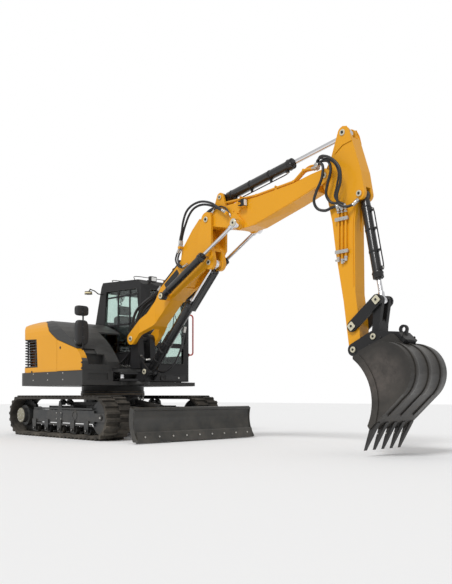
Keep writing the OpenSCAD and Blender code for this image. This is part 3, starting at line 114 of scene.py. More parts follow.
world = bpy.data.worlds.new("studio")
bpy.context.scene.world = world
world.use_nodes = True
sky = world.node_tree
path = sky.nodes.new("ShaderNodeLightPath")
seen = maths(sky, "MAXIMUM", path.outputs["Is Camera Ray"], path.outputs["Is Transmission Ray"])
feed(sky, ranged(sky, seen, To_Min=0.62, To_Max=1.0), sky.nodes["Background"].inputs["Strength"])
sky.nodes["Background"].inputs["Color"].default_value = (1, 1, 1, 1)

sun = bpy.data.objects.new("key_lamp", bpy.data.lights.new("key_lamp", "SUN"))
sun.data.energy = 1.7
sun.data.angle = math.radians(18)
sun.rotation_euler = (math.radians(42), 0, math.radians(15))
bpy.context.collection.objects.link(sun)

# Undercarriage: welded steel frame, rubber tracks, sprockets and rollers
# The frame is one welded and painted piece. The tracks are moulded rubber with steel cores,
# dusty and scuffed along the lugs' edges, where the lighter line is also a painted highlight.


def group(name, inputs, outputs):
    """A node group with named values, with the sockets of its input and output nodes."""
    made = bpy.data.node_groups.new(name, "ShaderNodeTree")
    for label, value in inputs:
        socket = made.interface.new_socket(label, in_out="INPUT", socket_type="NodeSocketFloat")
        socket.default_value = value
    for label in outputs:
        made.interface.new_socket(label, in_out="OUTPUT", socket_type="NodeSocketFloat")
    return made, made.nodes.new("NodeGroupInput").outputs, made.nodes.new("NodeGroupOutput").inputs


def noise(tree, scale, detail, roughness):
    """Cloudy noise that stays with the piece."""
    where = tree.nodes.new("ShaderNodeTexCoord")
    made = add_node(tree, "ShaderNodeTexNoise", Detail=detail, Roughness=roughness)
    feed(tree, where.outputs["Object"], made.inputs["Vector"])
    feed(tree, scale, made.inputs["Scale"])
    return made.outputs["Fac"]


def along_axis(tree, vector, axis):
    """One component of a vector."""
    made = tree.nodes.new("ShaderNodeSeparateXYZ")
    feed(tree, vector, made.inputs[0])
    return made.outputs[axis]


# mask of the sharp edges, where paint and rubber rub through; its lighter edge colour is also a painted
# highlight
edges, into, out = group("edge_wear_and_highlight", [("Width", 0.01), ("Amount", 0.5), ("Size", 30.0)], ["Mask"])
soft = add_node(edges, "ShaderNodeBevel", samples=4)
feed(edges, into["Width"], soft.inputs["Radius"])
dot = add_node(edges, "ShaderNodeVectorMath", operation="DOT_PRODUCT")
feed(edges, soft.outputs[0], dot.inputs[0])
feed(edges, edges.nodes.new("ShaderNodeNewGeometry").outputs["Normal"], dot.inputs[1])
edge = ranged(edges, dot.outputs["Value"], From_Min=0.995, From_Max=0.88)
edge_patches = ranged(edges, noise(edges, into["Size"], 5.0, 0.7), From_Min=0.47, From_Max=0.62)
feed(edges, maths(edges, "MULTIPLY", maths(edges, "MULTIPLY", edge, edge_patches), into["Amount"], True), out["Mask"])

# dust that lies on upward faces and thickens towards the ground
dust, into, out = group("dust", [("Amount", 0.4), ("Height", 1.0), ("Size", 4.0)], ["Mask"])
surface = dust.nodes.new("ShaderNodeNewGeometry").outputs
low = ranged(dust, along_axis(dust, surface["Position"], "Z"), From_Min=0.0, From_Max=into["Height"],
    To_Min=1.0, To_Max=0.0)
flat = ranged(dust, along_axis(dust, surface["Normal"], "Z"), From_Min=0.3, From_Max=1.0, To_Max=0.7)
patch = ranged(dust, noise(dust, into["Size"], 8.0, 0.65), From_Min=0.35, From_Max=0.7)
lain = maths(dust, "MULTIPLY", maths(dust, "ADD", low, flat), patch)
feed(dust, maths(dust, "MULTIPLY", lain, into["Amount"], True), out["Mask"])

# slow and fine variation of tone, with a height for the bump
tone, into, out = group("tone", [("Slow", 2.0), ("Fine", 90.0)], ["Slow", "Fine"])
for label, detail in (("Slow", 4.0), ("Fine", 3.0)):
    feed(tone, noise(tone, into[label], detail, 0.6), out[label])

DUST_COLOR = (0.40, 0.35, 0.28, 1)


def placed(tree, effect, **values):
    """The outputs of a node group that is placed with its own values."""
    made = tree.nodes.new("ShaderNodeGroup")
    made.node_tree = effect
    for key, value in values.items():
        made.inputs[key].default_value = value
    return made.outputs


def mixed(tree, share, a, b):
    """Colour a to b by the share of b."""
    made = tree.nodes.new("ShaderNodeMix")
    made.data_type = "RGBA"
    feed(tree, share, made.inputs["Factor"])
    feed(tree, a, made.inputs[6])
    feed(tree, b, made.inputs[7])
    return made.outputs[2]


def raise_by(tree, shader, height, strength, distance):
    """Bumps the surface by a height that changes over it."""
    made = add_node(tree, "ShaderNodeBump", Strength=strength, Distance=distance)
    feed(tree, height, made.inputs["Height"])
    feed(tree, made.outputs[0], shader.inputs["Normal"])


def coat(name, color, roughness, wear_and_highlight=0.5, wear_and_highlight_color=(0.30, 0.29, 0.28, 1), dirt=0.35, dirt_height=1.0,
        grain=90.0, bump=0.04, spread=0.12, metallic=0.0, gloss=0.0, shine=0.5):
    """A finish with tone, dust and rubbed edges, whose lighter edge colour is also a painted highlight.
    spread is how far the tone wanders.
    """
    made, tree, shader = plain_material(name)
    tones = placed(tree, tone, Slow=1.7, Fine=grain)
    dusty = placed(tree, dust, Amount=dirt, Height=dirt_height)["Mask"]
    rubbed_and_highlit = placed(tree, edges, Amount=wear_and_highlight)["Mask"]
    dark = tuple(c * (1 - spread) for c in color) + (1,)
    light = tuple(min(1, c * (1 + spread * 0.6)) for c in color) + (1,)
    base = mixed(tree, dusty, mixed(tree, tones["Slow"], dark, light), DUST_COLOR)
    # the lighter colour on sharp edges is partly rubbed paint and partly a painted highlight
    feed(tree, mixed(tree, rubbed_and_highlit, base, wear_and_highlight_color), shader.inputs["Base Color"])
    rough = ranged(tree, tones["Fine"], From_Min=0.3, From_Max=0.7, To_Min=roughness * 0.85,
        To_Max=min(1.0, roughness * 1.2))
    duller = maths(tree, "MULTIPLY", dusty, 0.45)
    feed(tree, maths(tree, "ADD", rough, duller, True), shader.inputs["Roughness"])
    raise_by(tree, shader, tones["Fine"], bump, 0.002)
    for socket, value in (("Metallic", metallic), ("Coat Weight", gloss), ("Specular IOR Level", shine)):
        shader.inputs[socket].default_value = value
    return made


def round_edges(thing, width, angle):
    """Rounds the edges that are sharper than the angle."""
    soft = thing.modifiers.new("round", "BEVEL")
    soft.width = width
    soft.segments = 2
    soft.limit_method = "ANGLE"
    soft.angle_limit = math.radians(angle)
    soft.harden_normals = True


def dress(material, *names, edge=0.004):
    """Gives CAD nodes their finish and small rounded edges."""
    for name in names:
        thing = cad[name]
        thing.data.materials.clear()
        thing.data.materials.append(material)
        if edge:
            weld = thing.modifiers.new("weld", "WELD")
            weld.merge_threshold = 1e-5
            round_edges(thing, edge, 40)


track_rubber = coat("track_rubber", (0.020, 0.018, 0.016), 0.8, wear_and_highlight=0.6, wear_and_highlight_color=(0.085, 0.08, 0.07, 1),
    dirt=0.32, dirt_height=0.8, grain=140.0, bump=0.35, spread=0.3, shine=0.35)
frame_paint = coat("frame_paint", (0.016, 0.018, 0.020), 0.35, wear_and_highlight=0.2, dirt=0.16, dirt_height=0.9,
    gloss=0.15, shine=0.4)
dress(frame_paint, "track_frame", "rollers", "sprockets")
dress(track_rubber, "track_right", "track_left")


def move(x, y, z):
    """Place that is only moved."""
    return Matrix.Translation((x, y, z))


def turn(degrees, axis):
    """Place that is only turned."""
    return Matrix.Rotation(math.radians(degrees), 4, axis)


def facing(at, axis, roll=0.0):
    """Place of a turned or flat form: its own +Z lies along the axis."""
    along = Vector(axis).to_track_quat("Z", "X").to_matrix().to_4x4()
    return Matrix.Translation(at) @ along @ turn(roll, "Z")


def side_wall(y, s=1):
    """Place on a wall along the machine: an outline in x and z there gets thick towards s."""
    return Matrix(((1, 0, 0, 0), (0, 0, s, y), (0, 1, 0, 0), (0, 0, 0, 1)))


def front_wall(x):
    """Place on a wall across the machine: an outline in y and z there gets thick forwards."""
    return Matrix(((0, 0, 1, x), (1, 0, 0, 0), (0, 1, 0, 0), (0, 0, 0, 1)))


def on_circle(r, degrees):
    """A point on a circle about the origin."""
    return r * math.cos(math.radians(degrees)), r * math.sin(math.radians(degrees))


def forms(count):
    """Empty meshes to build in."""
    return [bmesh.new() for _ in range(count)]


def turned(bm, profile, place, steps=28):
    """Revolves (radius, height) pairs about the place's Z."""
    rings = []
    for r, h in profile:
        count = steps if r > 0 else 1
        around = [on_circle(r, 360 * i / count) for i in range(count)]
        rings.append([bm.verts.new(place @ Vector((u, v, h))) for u, v in around])
    for low, high in zip(rings, rings[1:]):
        for i in range(steps):
            j = (i + 1) % steps
            corners = low[i % len(low)], low[j % len(low)], high[j % len(high)], high[i % len(high)]
            corners = list(dict.fromkeys(corners))
            if len(corners) > 2:
                bm.faces.new(corners)


def plate(bm, outline, place, thick):
    """A flat plate from its outline, thick along the place's Z."""
    low = [bm.verts.new(place @ Vector((u, v, 0))) for u, v in outline]
    high = [bm.verts.new(place @ Vector((u, v, thick))) for u, v in outline]
    bm.faces.new(low[::-1])
    bm.faces.new(high)
    for i in range(len(outline)):
        j = (i + 1) % len(outline)
        bm.faces.new((low[i], low[j], high[j], high[i]))


def rounded(w, h, r, at=(0, 0)):
    """Outline of a rectangle with rounded corners about a point."""
    outline = []
    for x, y, start in ((1, 1, 0), (-1, 1, 90), (-1, -1, 180), (1, -1, 270)):
        for k in range(5):
            u, v = on_circle(r, start + 90 * k / 4)
            outline.append((at[0] + x * (w / 2 - r) + u, at[1] + y * (h / 2 - r) + v))
    return outline


def bolt(bm, at, axis, size=0.012, roll=0.0):
    """Hexagon head with its washer; size is half the width over the corners."""
    turned(bm, [(0, 0), (size * 1.3, 0), (size * 1.3, size * 0.2), (0, size * 0.2)], facing(at, axis), 16)
    turned(bm, [(0, size * 0.2), (size, size * 0.2), (size, size * 0.8), (size * 0.8, size * 0.95),
        (0, size * 0.95)], facing(at, axis, roll), 6)


def sweep(bm, points, r, sides=10, closed=False):
    """A round bar of radius r along the points."""
    points = [Vector(p) for p in points]
    count = len(points)
    across = None
    rings = []
    for i, p in enumerate(points):
        before = points[i - 1 if i or closed else 0]
        after = points[(i + 1) % count if closed or i < count - 1 else i]
        way = (after - before).normalized()
        across = way.orthogonal() if across is None else across - way * across.dot(way)
        across.normalize()
        other = way.cross(across)
        rings.append([bm.verts.new(p + u * across + v * other)
            for u, v in (on_circle(r, 360 * k / sides) for k in range(sides))])
    pairs = list(zip(rings, rings[1:])) + ([(rings[-1], rings[0])] if closed else [])
    for low, high in pairs:
        shift = 0
        if closed and low is rings[-1]:
            shift = min(range(sides), key=lambda step: (low[0].co - high[step].co).length)
        for k in range(sides):
            m = (k + 1) % sides
            bm.faces.new((low[k], low[m], high[(m + shift) % sides], high[(k + shift) % sides]))
    if not closed:
        bm.faces.new(rings[0][::-1])
        bm.faces.new(rings[-1])


def piece(name, bm, material, body, edge=0.0, angle=38):
    """Makes the mesh a piece that rides on its body; a blended piece has no body here."""
    bmesh.ops.recalc_face_normals(bm, faces=bm.faces)
    mesh = bpy.data.meshes.new(name)
    bm.to_mesh(mesh)
    bm.free()
    for face in mesh.polygons:
        face.use_smooth = True
    mesh.set_sharp_from_angle(angle=math.radians(angle))
    mesh.materials.append(material)
    made = bpy.data.objects.new(name, mesh)
    bpy.context.collection.objects.link(made)
    if edge:
        round_edges(made, edge, 38)
    if body:
        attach(made, body)
    return made


# bright zinc-plated bolts and fittings, and blackened ones
zinc = coat("zinc_plate", (0.62, 0.61, 0.58), 0.32, wear_and_highlight=0.0, dirt=0.12, grain=160.0, bump=0.03, metallic=0.9)
black_oxide = coat("black_oxide", (0.016, 0.016, 0.017), 0.34, wear_and_highlight=0.2, dirt=0.10, grain=150.0, shine=0.4)
hub_paint = coat("hub_paint", (0.235, 0.225, 0.165), 0.55, dirt=0.5, dirt_height=0.9)
WHEEL_X, WHEEL_Z = 1.097, 0.323
DRIVE_Y, BEAM_Y, ROLLER_Y = 1.0502, 0.9902, 1.0082
ROLLER_STEP, ROLLER_Z = 0.375, 0.126
covers, wheel_bolts, caps, marks = forms(4)
for s in (-1, 1):
    out_way = (0, s, 0)
    # domed cover of the final drive with its rim bolts and three plugs
    hub = facing((-WHEEL_X, s * DRIVE_Y, WHEEL_Z), out_way)
    turned(covers, [(0, 0), (0.118, 0), (0.118, 0.008), (0.110, 0.012), (0.078, 0.014), (0.070, 0.024),
        (0.052, 0.030), (0, 0.032)], hub, 40)
    for k in range(10):
        bolt(wheel_bolts, hub @ Vector((*on_circle(0.097, 36 * k + 9), 0.012)), out_way, 0.008, 7 * k)
    for k in range(3):
        bolt(wheel_bolts, hub @ Vector((*on_circle(0.034, 120 * k + 30), 0.028)), out_way, 0.009)
    # axle caps of the idler and of the five bottom rollers
    rollers = [(ROLLER_STEP * k, ROLLER_Z, ROLLER_Y, 0.026) for k in range(-2, 3)]
    for x, z, y, r in [(WHEEL_X, WHEEL_Z, BEAM_Y, 0.044)] + rollers:
        turned(caps, [(0, 0), (r, 0), (r, 0.010), (r * 0.86, 0.014), (r * 0.5, 0.014), (r * 0.42, 0.009),
            (0, 0.009)], facing((x, s * y, z), out_way), 24)
        bolt(wheel_bolts, (x, s * (y + 0.009), z), out_way, r * 0.3, 11)
    # folded strips along the beam, the tensioner's cover and the hole beside it
    beam_side = side_wall(s * BEAM_Y, s)
    for z, h in ((0.445, 0.026), (0.205, 0.030)):
        plate(marks, rounded(1.66, h, 0.006, (0.06, z)), beam_side, 0.008)
    plate(marks, rounded(0.17, 0.12, 0.02, (-0.02, 0.33)), beam_side, 0.006)
    for x in (-0.085, 0.045):
        for z in (0.285, 0.375):
            bolt(wheel_bolts, (x, s * (BEAM_Y + 0.006), z), out_way, 0.008, 20)
    sweep(marks, [beam_side @ Vector((0.42 + u, 0.345 + v, 0.0008))
        for u, v in (on_circle(0.062, 360 * k / 28) for k in range(28))], 0.007, 8, True)
piece("drive_covers", covers, hub_paint, "undercarriage", 0.0015)
piece("axle_caps", caps, black_oxide, "undercarriage", 0.001)
piece("frame_bolts", wheel_bolts, zinc, "undercarriage")
piece("beam_covers", marks, frame_paint, "undercarriage", 0.0015)

# Slew ring: a geared bearing of forged steel, greasy brown from its lubricant
# Its lower ring is bolted to the frame from below, and a lip seals the gap to the upper ring.
ring_steel = coat("ring_steel", (0.165, 0.125, 0.085), 0.6, wear_and_highlight=0.4, dirt=0.5, dirt_height=1.4, grain=120.0,
    bump=0.08, spread=0.3, metallic=0.25)
ring_bolts, seal = forms(2)
for k in range(40):
    bolt(ring_bolts, (*on_circle(0.493, 9 * k + 3), 0.6298), (0, 0, -1), 0.015, 13 * k)
turned(seal, [(0.500, 0.700), (0.5165, 0.701), (0.519, 0.7055), (0.5165, 0.710), (0.500, 0.712)],
    Matrix(), 96)
turned(seal, [(0.515, 0.655), (0.519, 0.656), (0.519, 0.680), (0.515, 0.681)], Matrix(), 96)
piece("ring_bolts", ring_bolts, black_oxide, "undercarriage")
piece("ring_lip", seal, ring_steel, "undercarriage")

# Blade with its cylinder and hoses
# Bent and welded plate, painted, with a bolted cutting edge that rubs bare; the lighter edges are partly a
# painted highlight.
black_paint = coat("black_paint", (0.015, 0.015, 0.016), 0.40, wear_and_highlight=0.12, dirt=0.14, shine=0.35)
blade_paint = coat("blade_paint", (0.022, 0.022, 0.020), 0.36, wear_and_highlight=0.4, wear_and_highlight_color=(0.16, 0.15, 0.14, 1),
    dirt=0.14, dirt_height=0.7, gloss=0.2, shine=0.4)
chrome = coat("chrome", (0.80, 0.80, 0.82), 0.12, wear_and_highlight=0.0, dirt=0.03, bump=0.0, spread=0.04, metallic=1.0)
hose_rubber = coat("hose_rubber", (0.020, 0.020, 0.021), 0.42, wear_and_highlight=0.15, wear_and_highlight_color=(0.09, 0.085, 0.08, 1),
    dirt=0.2, grain=260.0, bump=0.10, spread=0.15)
dress(blade_paint, "blade")
dress(black_paint, "blade_barrel")
dress(chrome, "blade_rod")


def through(points, steps=8):
    """A smooth way through the points."""
    points = [Vector(p) for p in points]
    held = [2 * points[0] - points[1]] + points + [2 * points[-1] - points[-2]]
    way = []
    for a, b, c, d in zip(held, held[1:], held[2:], held[3:]):
        for k in range(steps):
            t = k / steps
            way.append(0.5 * (2 * b + (c - a) * t + (2 * a - 5 * b + 4 * c - d) * t * t
                + (3 * b - a - 3 * c + d) * t ** 3))
    return way + [points[-1]]


edge_plugs, welds = forms(2)
for k in range(9):
    bolt(edge_plugs, (2.1135, -0.98 + 0.245 * k, 0.090), (1, 0, 0.21), 0.010, 5 * k)
for y in (-1.100, 1.100):
    sweep(welds, through([(2.040, y, 0.452), (2.012, y, 0.33), (2.022, y, 0.20), (2.078, y, 0.07)], 6),
        0.005, 8)
piece("edge_bolts", edge_plugs, zinc, "blade")
piece("blade_welds", welds, blade_paint, "blade")


def pin_line(a, b, y):
    """Place whose Z runs from pin a to pin b in the side view, and whose Y runs across the machine."""
    way = Vector((b[0] - a[0], 0, b[1] - a[1])).normalized()
    place = Matrix((Vector((0, 1, 0)).cross(way), (0, 1, 0), way)).transposed().to_4x4()
    place.translation = Vector((a[0], y, a[1]))
    return place


def collar(bm, place, r, low, high, lead):
    """A raised band round a barrel between two heights, with sloped ends of that lead."""
    turned(bm, [(r, low), (r + 0.004, low + lead), (r + 0.004, high - lead), (r, high)], place, 32)


def cylinder_trim(name, body, place, r, rod_r, length, tube_side=None, base=0.12, reach=0.10):
    """Gland bolts, wiper and base ring of a cylinder, and the steel tube between its ports on one side."""
    black, bright = forms(2)
    gland = r + 0.007
    collar(black, place, gland, length - 0.064, length - 0.046, 0.004)
    turned(black, [(rod_r + 0.001, length + 0.0003), (rod_r + 0.012, length + 0.0003),
        (rod_r + 0.010, length + 0.010), (rod_r + 0.001, length + 0.012)], place, 28)
    collar(black, place, r, base + 0.02, base + 0.036, 0.002)
    for k in range(8):
        turned(black, [(0, 0), (0.0065, 0), (0.0065, 0.007), (0.004, 0.007), (0.003, 0.003), (0, 0.003)],
            place @ move(*on_circle(gland - 0.011, 45 * k + 22), length), 12)
    if tube_side is not None:
        side = place @ turn(tube_side, "Z")
        foot, top = base + 0.07, length - reach
        for h in (foot, top):
            plate(black, rounded(0.040, 0.046, 0.006), side @ move(r - 0.006, 0, h) @ turn(90, "Y"), 0.026)
            turned(bright, [(0, 0), (0.014, 0), (0.014, 0.010), (0.011, 0.012), (0.011, 0.016), (0, 0.016)],
                side @ move(r + 0.020, 0, h) @ turn(90, "Y"), 6)
        route = [(r + 0.036, top - 0.05 - k * (top - foot - 0.1) / 6) for k in range(7)]
        route = [(r + 0.03, top)] + route + [(r + 0.03, foot)]
        sweep(black, through([side @ Vector((u, 0, h)) for u, h in route], 4), 0.0075, 8)
        for share in (0.33, 0.70):
            h = foot + share * (top - foot)
            collar(black, place, r, h - 0.012, h + 0.012, 0.001)
            plate(black, rounded(0.034, 0.030, 0.008), side @ move(r + 0.018, 0, h - 0.011), 0.022)
            bolt(bright, side @ Vector((r + 0.033, 0, h)), side.to_3x3() @ Vector((1, 0, 0)), 0.006)
    piece(name + "_trim", black, black_oxide, body, 0.0008)
    if tube_side is not None:
        piece(name + "_fittings", bright, zinc, body)


cylinder_trim("blade_cylinder", "blade_cylinder", pin_line((0.620, 0.545), (1.690, 0.385), 0.0), 0.048, 0.022,
    0.640)


def hose_end(bm, at, way, r):
    """Swaged ferrule and union nut of a hose."""
    ferrule = [(0, 0), (0.8, 0), (0.8, 0.8), (1.25, 1), (1.32, 1.3), (1.32, 3.2), (1.22, 3.5), (1.32, 3.7),
        (1.28, 4.6), (1.02, 4.8)]
    nut = [(0, -0.9), (1.35, -0.9), (1.5, -0.6), (1.5, 0.5), (1.3, 0.8), (0, 0.8)]
    for profile, steps in ((ferrule, 18), (nut, 6)):
        turned(bm, [(r * across, r * along) for across, along in profile], facing(at, way), steps)


def hose(name, body, points, r, blend=None, steps=8, sides=12):
    """A rubber hose with a fitting at each end. When blend is given, the hose rides on no body; the second
    body and the two ends of the bend in it are not used.
    """
    rubber, ends = forms(2)
    way = through(points, steps)
    sweep(rubber, way, r, sides)
    hose_end(ends, way[0], way[1] - way[0], r)
    hose_end(ends, way[-1], way[-2] - way[-1], r)
    rides_on = None if blend else body
    tube = piece(name, rubber, hose_rubber, rides_on)
    nuts = piece(name + "_ends", ends, zinc, rides_on)
    if blend:
        for made in (tube, nuts):
            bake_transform(made)
    return tube


for k, y in enumerate((-0.045, 0.045)):
    hose("blade_hose_%d" % (k + 1), "undercarriage", [(0.480, y * 2.4, 0.50), (0.53, y * 2.4, 0.53),
        (0.585, y * 2.1, 0.605), (0.66, y * 1.6, 0.640), (0.74, y, 0.605), (0.755, y * 0.9, 0.580)], 0.009,
        blend=("blade_cylinder", (0.55, 0, 0.56), (0.72, 0, 0.60)))

# Upper structure: deck, counterweight, hood and panels
# Sprayed sheet steel and one casting, yellow above the charcoal skirt. The panels close with
# round locks, and the skirt is screwed on.
grey_paint = coat("grey_paint", (0.042, 0.042, 0.041), 0.45, wear_and_highlight=0.15, dirt=0.14, shine=0.4)
yellow_paint = coat("yellow_paint", (0.75, 0.335, 0.008), 0.36, wear_and_highlight=0.12, wear_and_highlight_color=(0.30, 0.17, 0.06, 1),
    dirt=0.05, dirt_height=1.2, grain=200.0, bump=0.02, spread=0.05, gloss=0.15, shine=0.35)
plastic = coat("cab_plastic", (0.025, 0.025, 0.026), 0.55, wear_and_highlight=0.1, dirt=0.15, grain=300.0, bump=0.12)
engine_paint = coat("engine_paint", (0.10, 0.10, 0.11), 0.6, wear_and_highlight=0.3, dirt=0.3)
dress(grey_paint, "deck", "top_hood", "tank_box")
dress(yellow_paint, "counterweight", "corner_panels", "engine_hood", "side_door")
dress(plastic, "grille", "mirrors", edge=0)
dress(engine_paint, "engine_block")


def bow(bm, wall, knee, back, half, corner, z, r, sides):
    """A bar bent out from a wall across the machine and back into it, half as wide to each side."""
    side = [(wall, half), (knee, half), (back, corner)]
    sweep(bm, through([(x, -y, z) for x, y in side] + [(x, y, z) for x, y in side[::-1]], 5), r, sides)


# round locks, the hood's grab handle, and the towing bar in the counterweight's pocket
locks, handle, tow = forms(3)
for at, out_way in (((0.155, -1.0822, 1.372), (0, -1, 0)), ((-0.70, -1.0822, 1.02), (0, -1, 0)),
        ((-0.70, 1.0822, 1.02), (0, 1, 0)), ((-1.383, 0.0, 1.470), (-1, 0, 0.1))):
    turned(locks, [(0, 0), (0.019, 0), (0.019, 0.004), (0.016, 0.006), (0.010, 0.006), (0.009, 0.003),
        (0, 0.003)], facing(at, out_way), 24)
bow(handle, -1.392, -1.425, -1.436, 0.105, 0.092, 1.432, 0.009, 10)
bow(tow, -1.335, -1.40, -1.422, 0.075, 0.05, 1.13, 0.016, 12)
piece("panel_locks", locks, black_oxide, "upper")
piece("hood_handle", handle, plastic, "engine_hood_body")
piece("tow_bar", tow, black_oxide, "upper")

# screws of the skirt, and the lip along its lower edge
screws, lips = forms(2)
for s in (-1, 1):
    for x in (-0.62, -0.18, 0.26) if s < 0 else (-0.85, -0.62):
        for z in (0.885, 0.985):
            turned(screws, [(0, 0), (0.011, 0), (0.009, 0.004), (0.003, 0.005), (0, 0.0035)],
                facing((x, s * 1.1002, z), (0, s, 0)), 16)
    sweep(lips, [(x, s * 1.096, 0.803) for x in (-0.60, 0.10, 0.74)], 0.006, 8)
piece("skirt_screws", screws, zinc, "upper")
piece("skirt_lip", lips, grey_paint, "upper")

# tread plates of both steps, with round studs that have raised rims
treads = bmesh.new()
STUD_STEP = 0.046
for x0, x1, y0, y1, z in ((0.604, 0.752, -0.985, -0.655, 1.1005), (0.735, 0.788, -1.000, -0.660, 0.8806)):
    middle = ((x0 + x1) / 2, (y0 + y1) / 2)
    plate(treads, rounded(x1 - x0, y1 - y0, 0.008, middle), move(0, 0, z), 0.004)
    for i in range(int((y1 - y0) / STUD_STEP)):
        for j in range(max(1, int((x1 - x0) / STUD_STEP))):
            turned(treads, [(0.017, 0), (0.015, 0.004), (0.012, 0.004), (0.010, 0.0005)],
                move(x0 + 0.027 + STUD_STEP * j, y0 + 0.028 + STUD_STEP * i, z + 0.004), 12)
piece("step_treads", treads, black_oxide, "upper")

# hoses from the deck over the swing post, and the block on the deck that they are screwed into
MID_Y = -0.180
BLOCK_Y, PORT_STEP = -0.205, 0.042
block = bmesh.new()
plate(block, rounded(0.10, 0.30, 0.01, (0.545, BLOCK_Y)), move(0, 0, 1.0502), 0.028)
for k in range(6):
    y = MID_Y + 0.020 * (k - 2.5)
    low_y = BLOCK_Y + PORT_STEP * (k - 2.5)
    hose("post_hose_%d" % (k + 1), "upper", [(0.560, low_y, 1.075), (0.60, low_y, 1.13),
        (0.66, low_y * 0.6 - 0.072, 1.215 + 0.01 * (k % 2)), (0.745, y, 1.30), (0.835, y, 1.385),
        (0.905, y, 1.44 - 0.012 * (k % 2))], 0.0115 if k % 3 else 0.009,
        blend=("swing_post_body", (0.62, -0.18, 1.2), (0.82, -0.18, 1.35)), steps=6, sides=10)
    turned(block, [(0, 0), (0.016, 0), (0.016, 0.014), (0.012, 0.016), (0, 0.016)],
        move(0.560, low_y, 1.078) @ Matrix.Rotation(0.6, 4, "Y"), 6)
piece("hose_bulkhead", block, black_oxide, "upper", 0.0015)

# Cab: welded frame, glass, door, mirrors and roof
# Square tubes welded and painted black. The tinted panes sit in rubber seals, and the mouldings
# are grained plastic.
red_paint = coat("red_paint", (0.55, 0.045, 0.03), 0.35, wear_and_highlight=0.3, dirt=0.1)
dress(black_paint, "cab_frame", "cab_roof", "cab_door")
dress(red_paint, "handrail", edge=0)
dress(plastic, "seat_base", "controls", "lamps", edge=0.003)

glass, tree, shader = plain_material("window_glass")
tones = placed(tree, tone, Slow=1.2, Fine=40.0)
tint = mixed(tree, tones["Slow"], (0.66, 0.78, 0.74, 1), (0.74, 0.84, 0.80, 1))
feed(tree, tint, shader.inputs["Base Color"])
smear = ranged(tree, tones["Fine"], From_Min=0.3, From_Max=0.8, To_Min=0.02, To_Max=0.10)
feed(tree, smear, shader.inputs["Roughness"])
shader.inputs["Transmission Weight"].default_value = 1.0
shader.inputs["IOR"].default_value = 1.45
dress(glass, "cab_glass", "door_glass", edge=0)

# rubber seals round every pane
seal_rubber = coat("seal_rubber", (0.018, 0.018, 0.018), 0.6, wear_and_highlight=0.0, dirt=0.15, grain=220.0, bump=0.05)


def rim(bm, outline, put, r, corner=0.04):
    """A seal of radius r along the outline with rounded corners; put turns (u, v) into a point."""
    way = []
    count = len(outline)
    for i in range(count):
        p, a, b = (Vector(outline[j % count]) for j in (i, i - 1, i + 1))
        d0, d1 = (a - p).normalized() * corner, (b - p).normalized() * corner
        for k in range(5):
            t = k / 4
            way.append(put((p + d0) * (1 - t) ** 2 + p * 2 * t * (1 - t) + (p + d1) * t * t))
    sweep(bm, way, r, 8, True)


def box_outline(u0, u1, v0, v1):
    """Outline of a rectangle between two sides and two heights."""
    return [(u0, v0), (u0, v1), (u1, v1), (u1, v0)]


RIGHT_PANE = [(-0.270, 1.800), (-0.235, 2.380), (0.620, 2.350), (0.680, 1.850), (0.680, 1.500),
    (0.560, 1.340), (-0.270, 1.340)]
FRONT_X = 0.811
seals, bars, door_seal, door_parts = forms(4)
rim(seals, RIGHT_PANE, lambda p: (p.x, 0.0185, p.y), 0.009)
rim(seals, box_outline(0.130, 0.875, 1.900, 2.380),
    lambda p: (-0.551 + max(0, p.y - 1.83) * 0.327, p.x, p.y), 0.009)
rim(seals, box_outline(0.170, 0.895, 1.480, 2.340),
    lambda p: (FRONT_X - max(0, p.y - 1.90) * 0.148, p.x, p.y), 0.009)
rim(seals, box_outline(0.210, 0.835, 1.150, 1.420), lambda p: (FRONT_X, p.x, p.y), 0.009)
# frames of the sliding panes in the right window
for w, h, at in ((0.034, 0.985, (0.091, 1.858)), (0.034, 0.985, (0.405, 1.858)),
        (0.90, 0.030, (0.20, 1.800)), (0.86, 0.026, (0.20, 2.265))):
    plate(bars, rounded(w, h, 0.003, at), side_wall(0.030), 0.012)
# the door's seal, its grip and the plate behind the grip
rim(door_seal, [(-0.165, 1.300), (-0.165, 2.325), (0.56, 2.325), (0.66, 1.86), (0.66, 1.300)],
    lambda p: (p.x, 0.9862, p.y), 0.008)
sweep(door_parts, through([(0.655, 0.986, 1.21), (0.655, 1.012, 1.21), (0.650, 1.022, 1.21),
    (0.545, 1.022, 1.215), (0.535, 1.012, 1.215), (0.530, 0.986, 1.215)], 5), 0.010, 10)
plate(door_parts, rounded(0.175, 0.075, 0.02, (0.593, 1.212)), side_wall(0.9852), 0.006)
piece("window_seals", seals, seal_rubber, "upper")
piece("sliding_frames", bars, black_paint, "upper", 0.002)
piece("door_seal", door_seal, seal_rubber, "cab_door_body")
piece("door_handle", door_parts, plastic, "cab_door_body", 0.002)

# lower front: round plug lamp, lock and the fold line under the lower window
front_parts, front_lock = forms(2)
front_face = front_wall(0.8102)
turned(front_parts, [(0, 0), (0.040, 0), (0.040, 0.010), (0.034, 0.014), (0.026, 0.008), (0, 0.006)],
    facing((0.8102, 0.381, 0.920), (1, 0, 0)), 28)
plate(front_parts, rounded(0.80, 0.010, 0.003, (0.52, 0.985)), front_face, 0.006)
plate(front_parts, rounded(0.42, 0.085, 0.01, (0.66, 0.930)), front_face, 0.004)
turned(front_lock, [(0, 0), (0.015, 0), (0.015, 0.006), (0.011, 0.008), (0.004, 0.008), (0.004, 0.004),
    (0, 0.004)], facing((0.8142, 0.719, 0.930), (1, 0, 0)), 20)
piece("cab_front_plates", front_parts, plastic, "upper", 0.0015)
piece("cab_front_lock", front_lock, zinc, "upper")

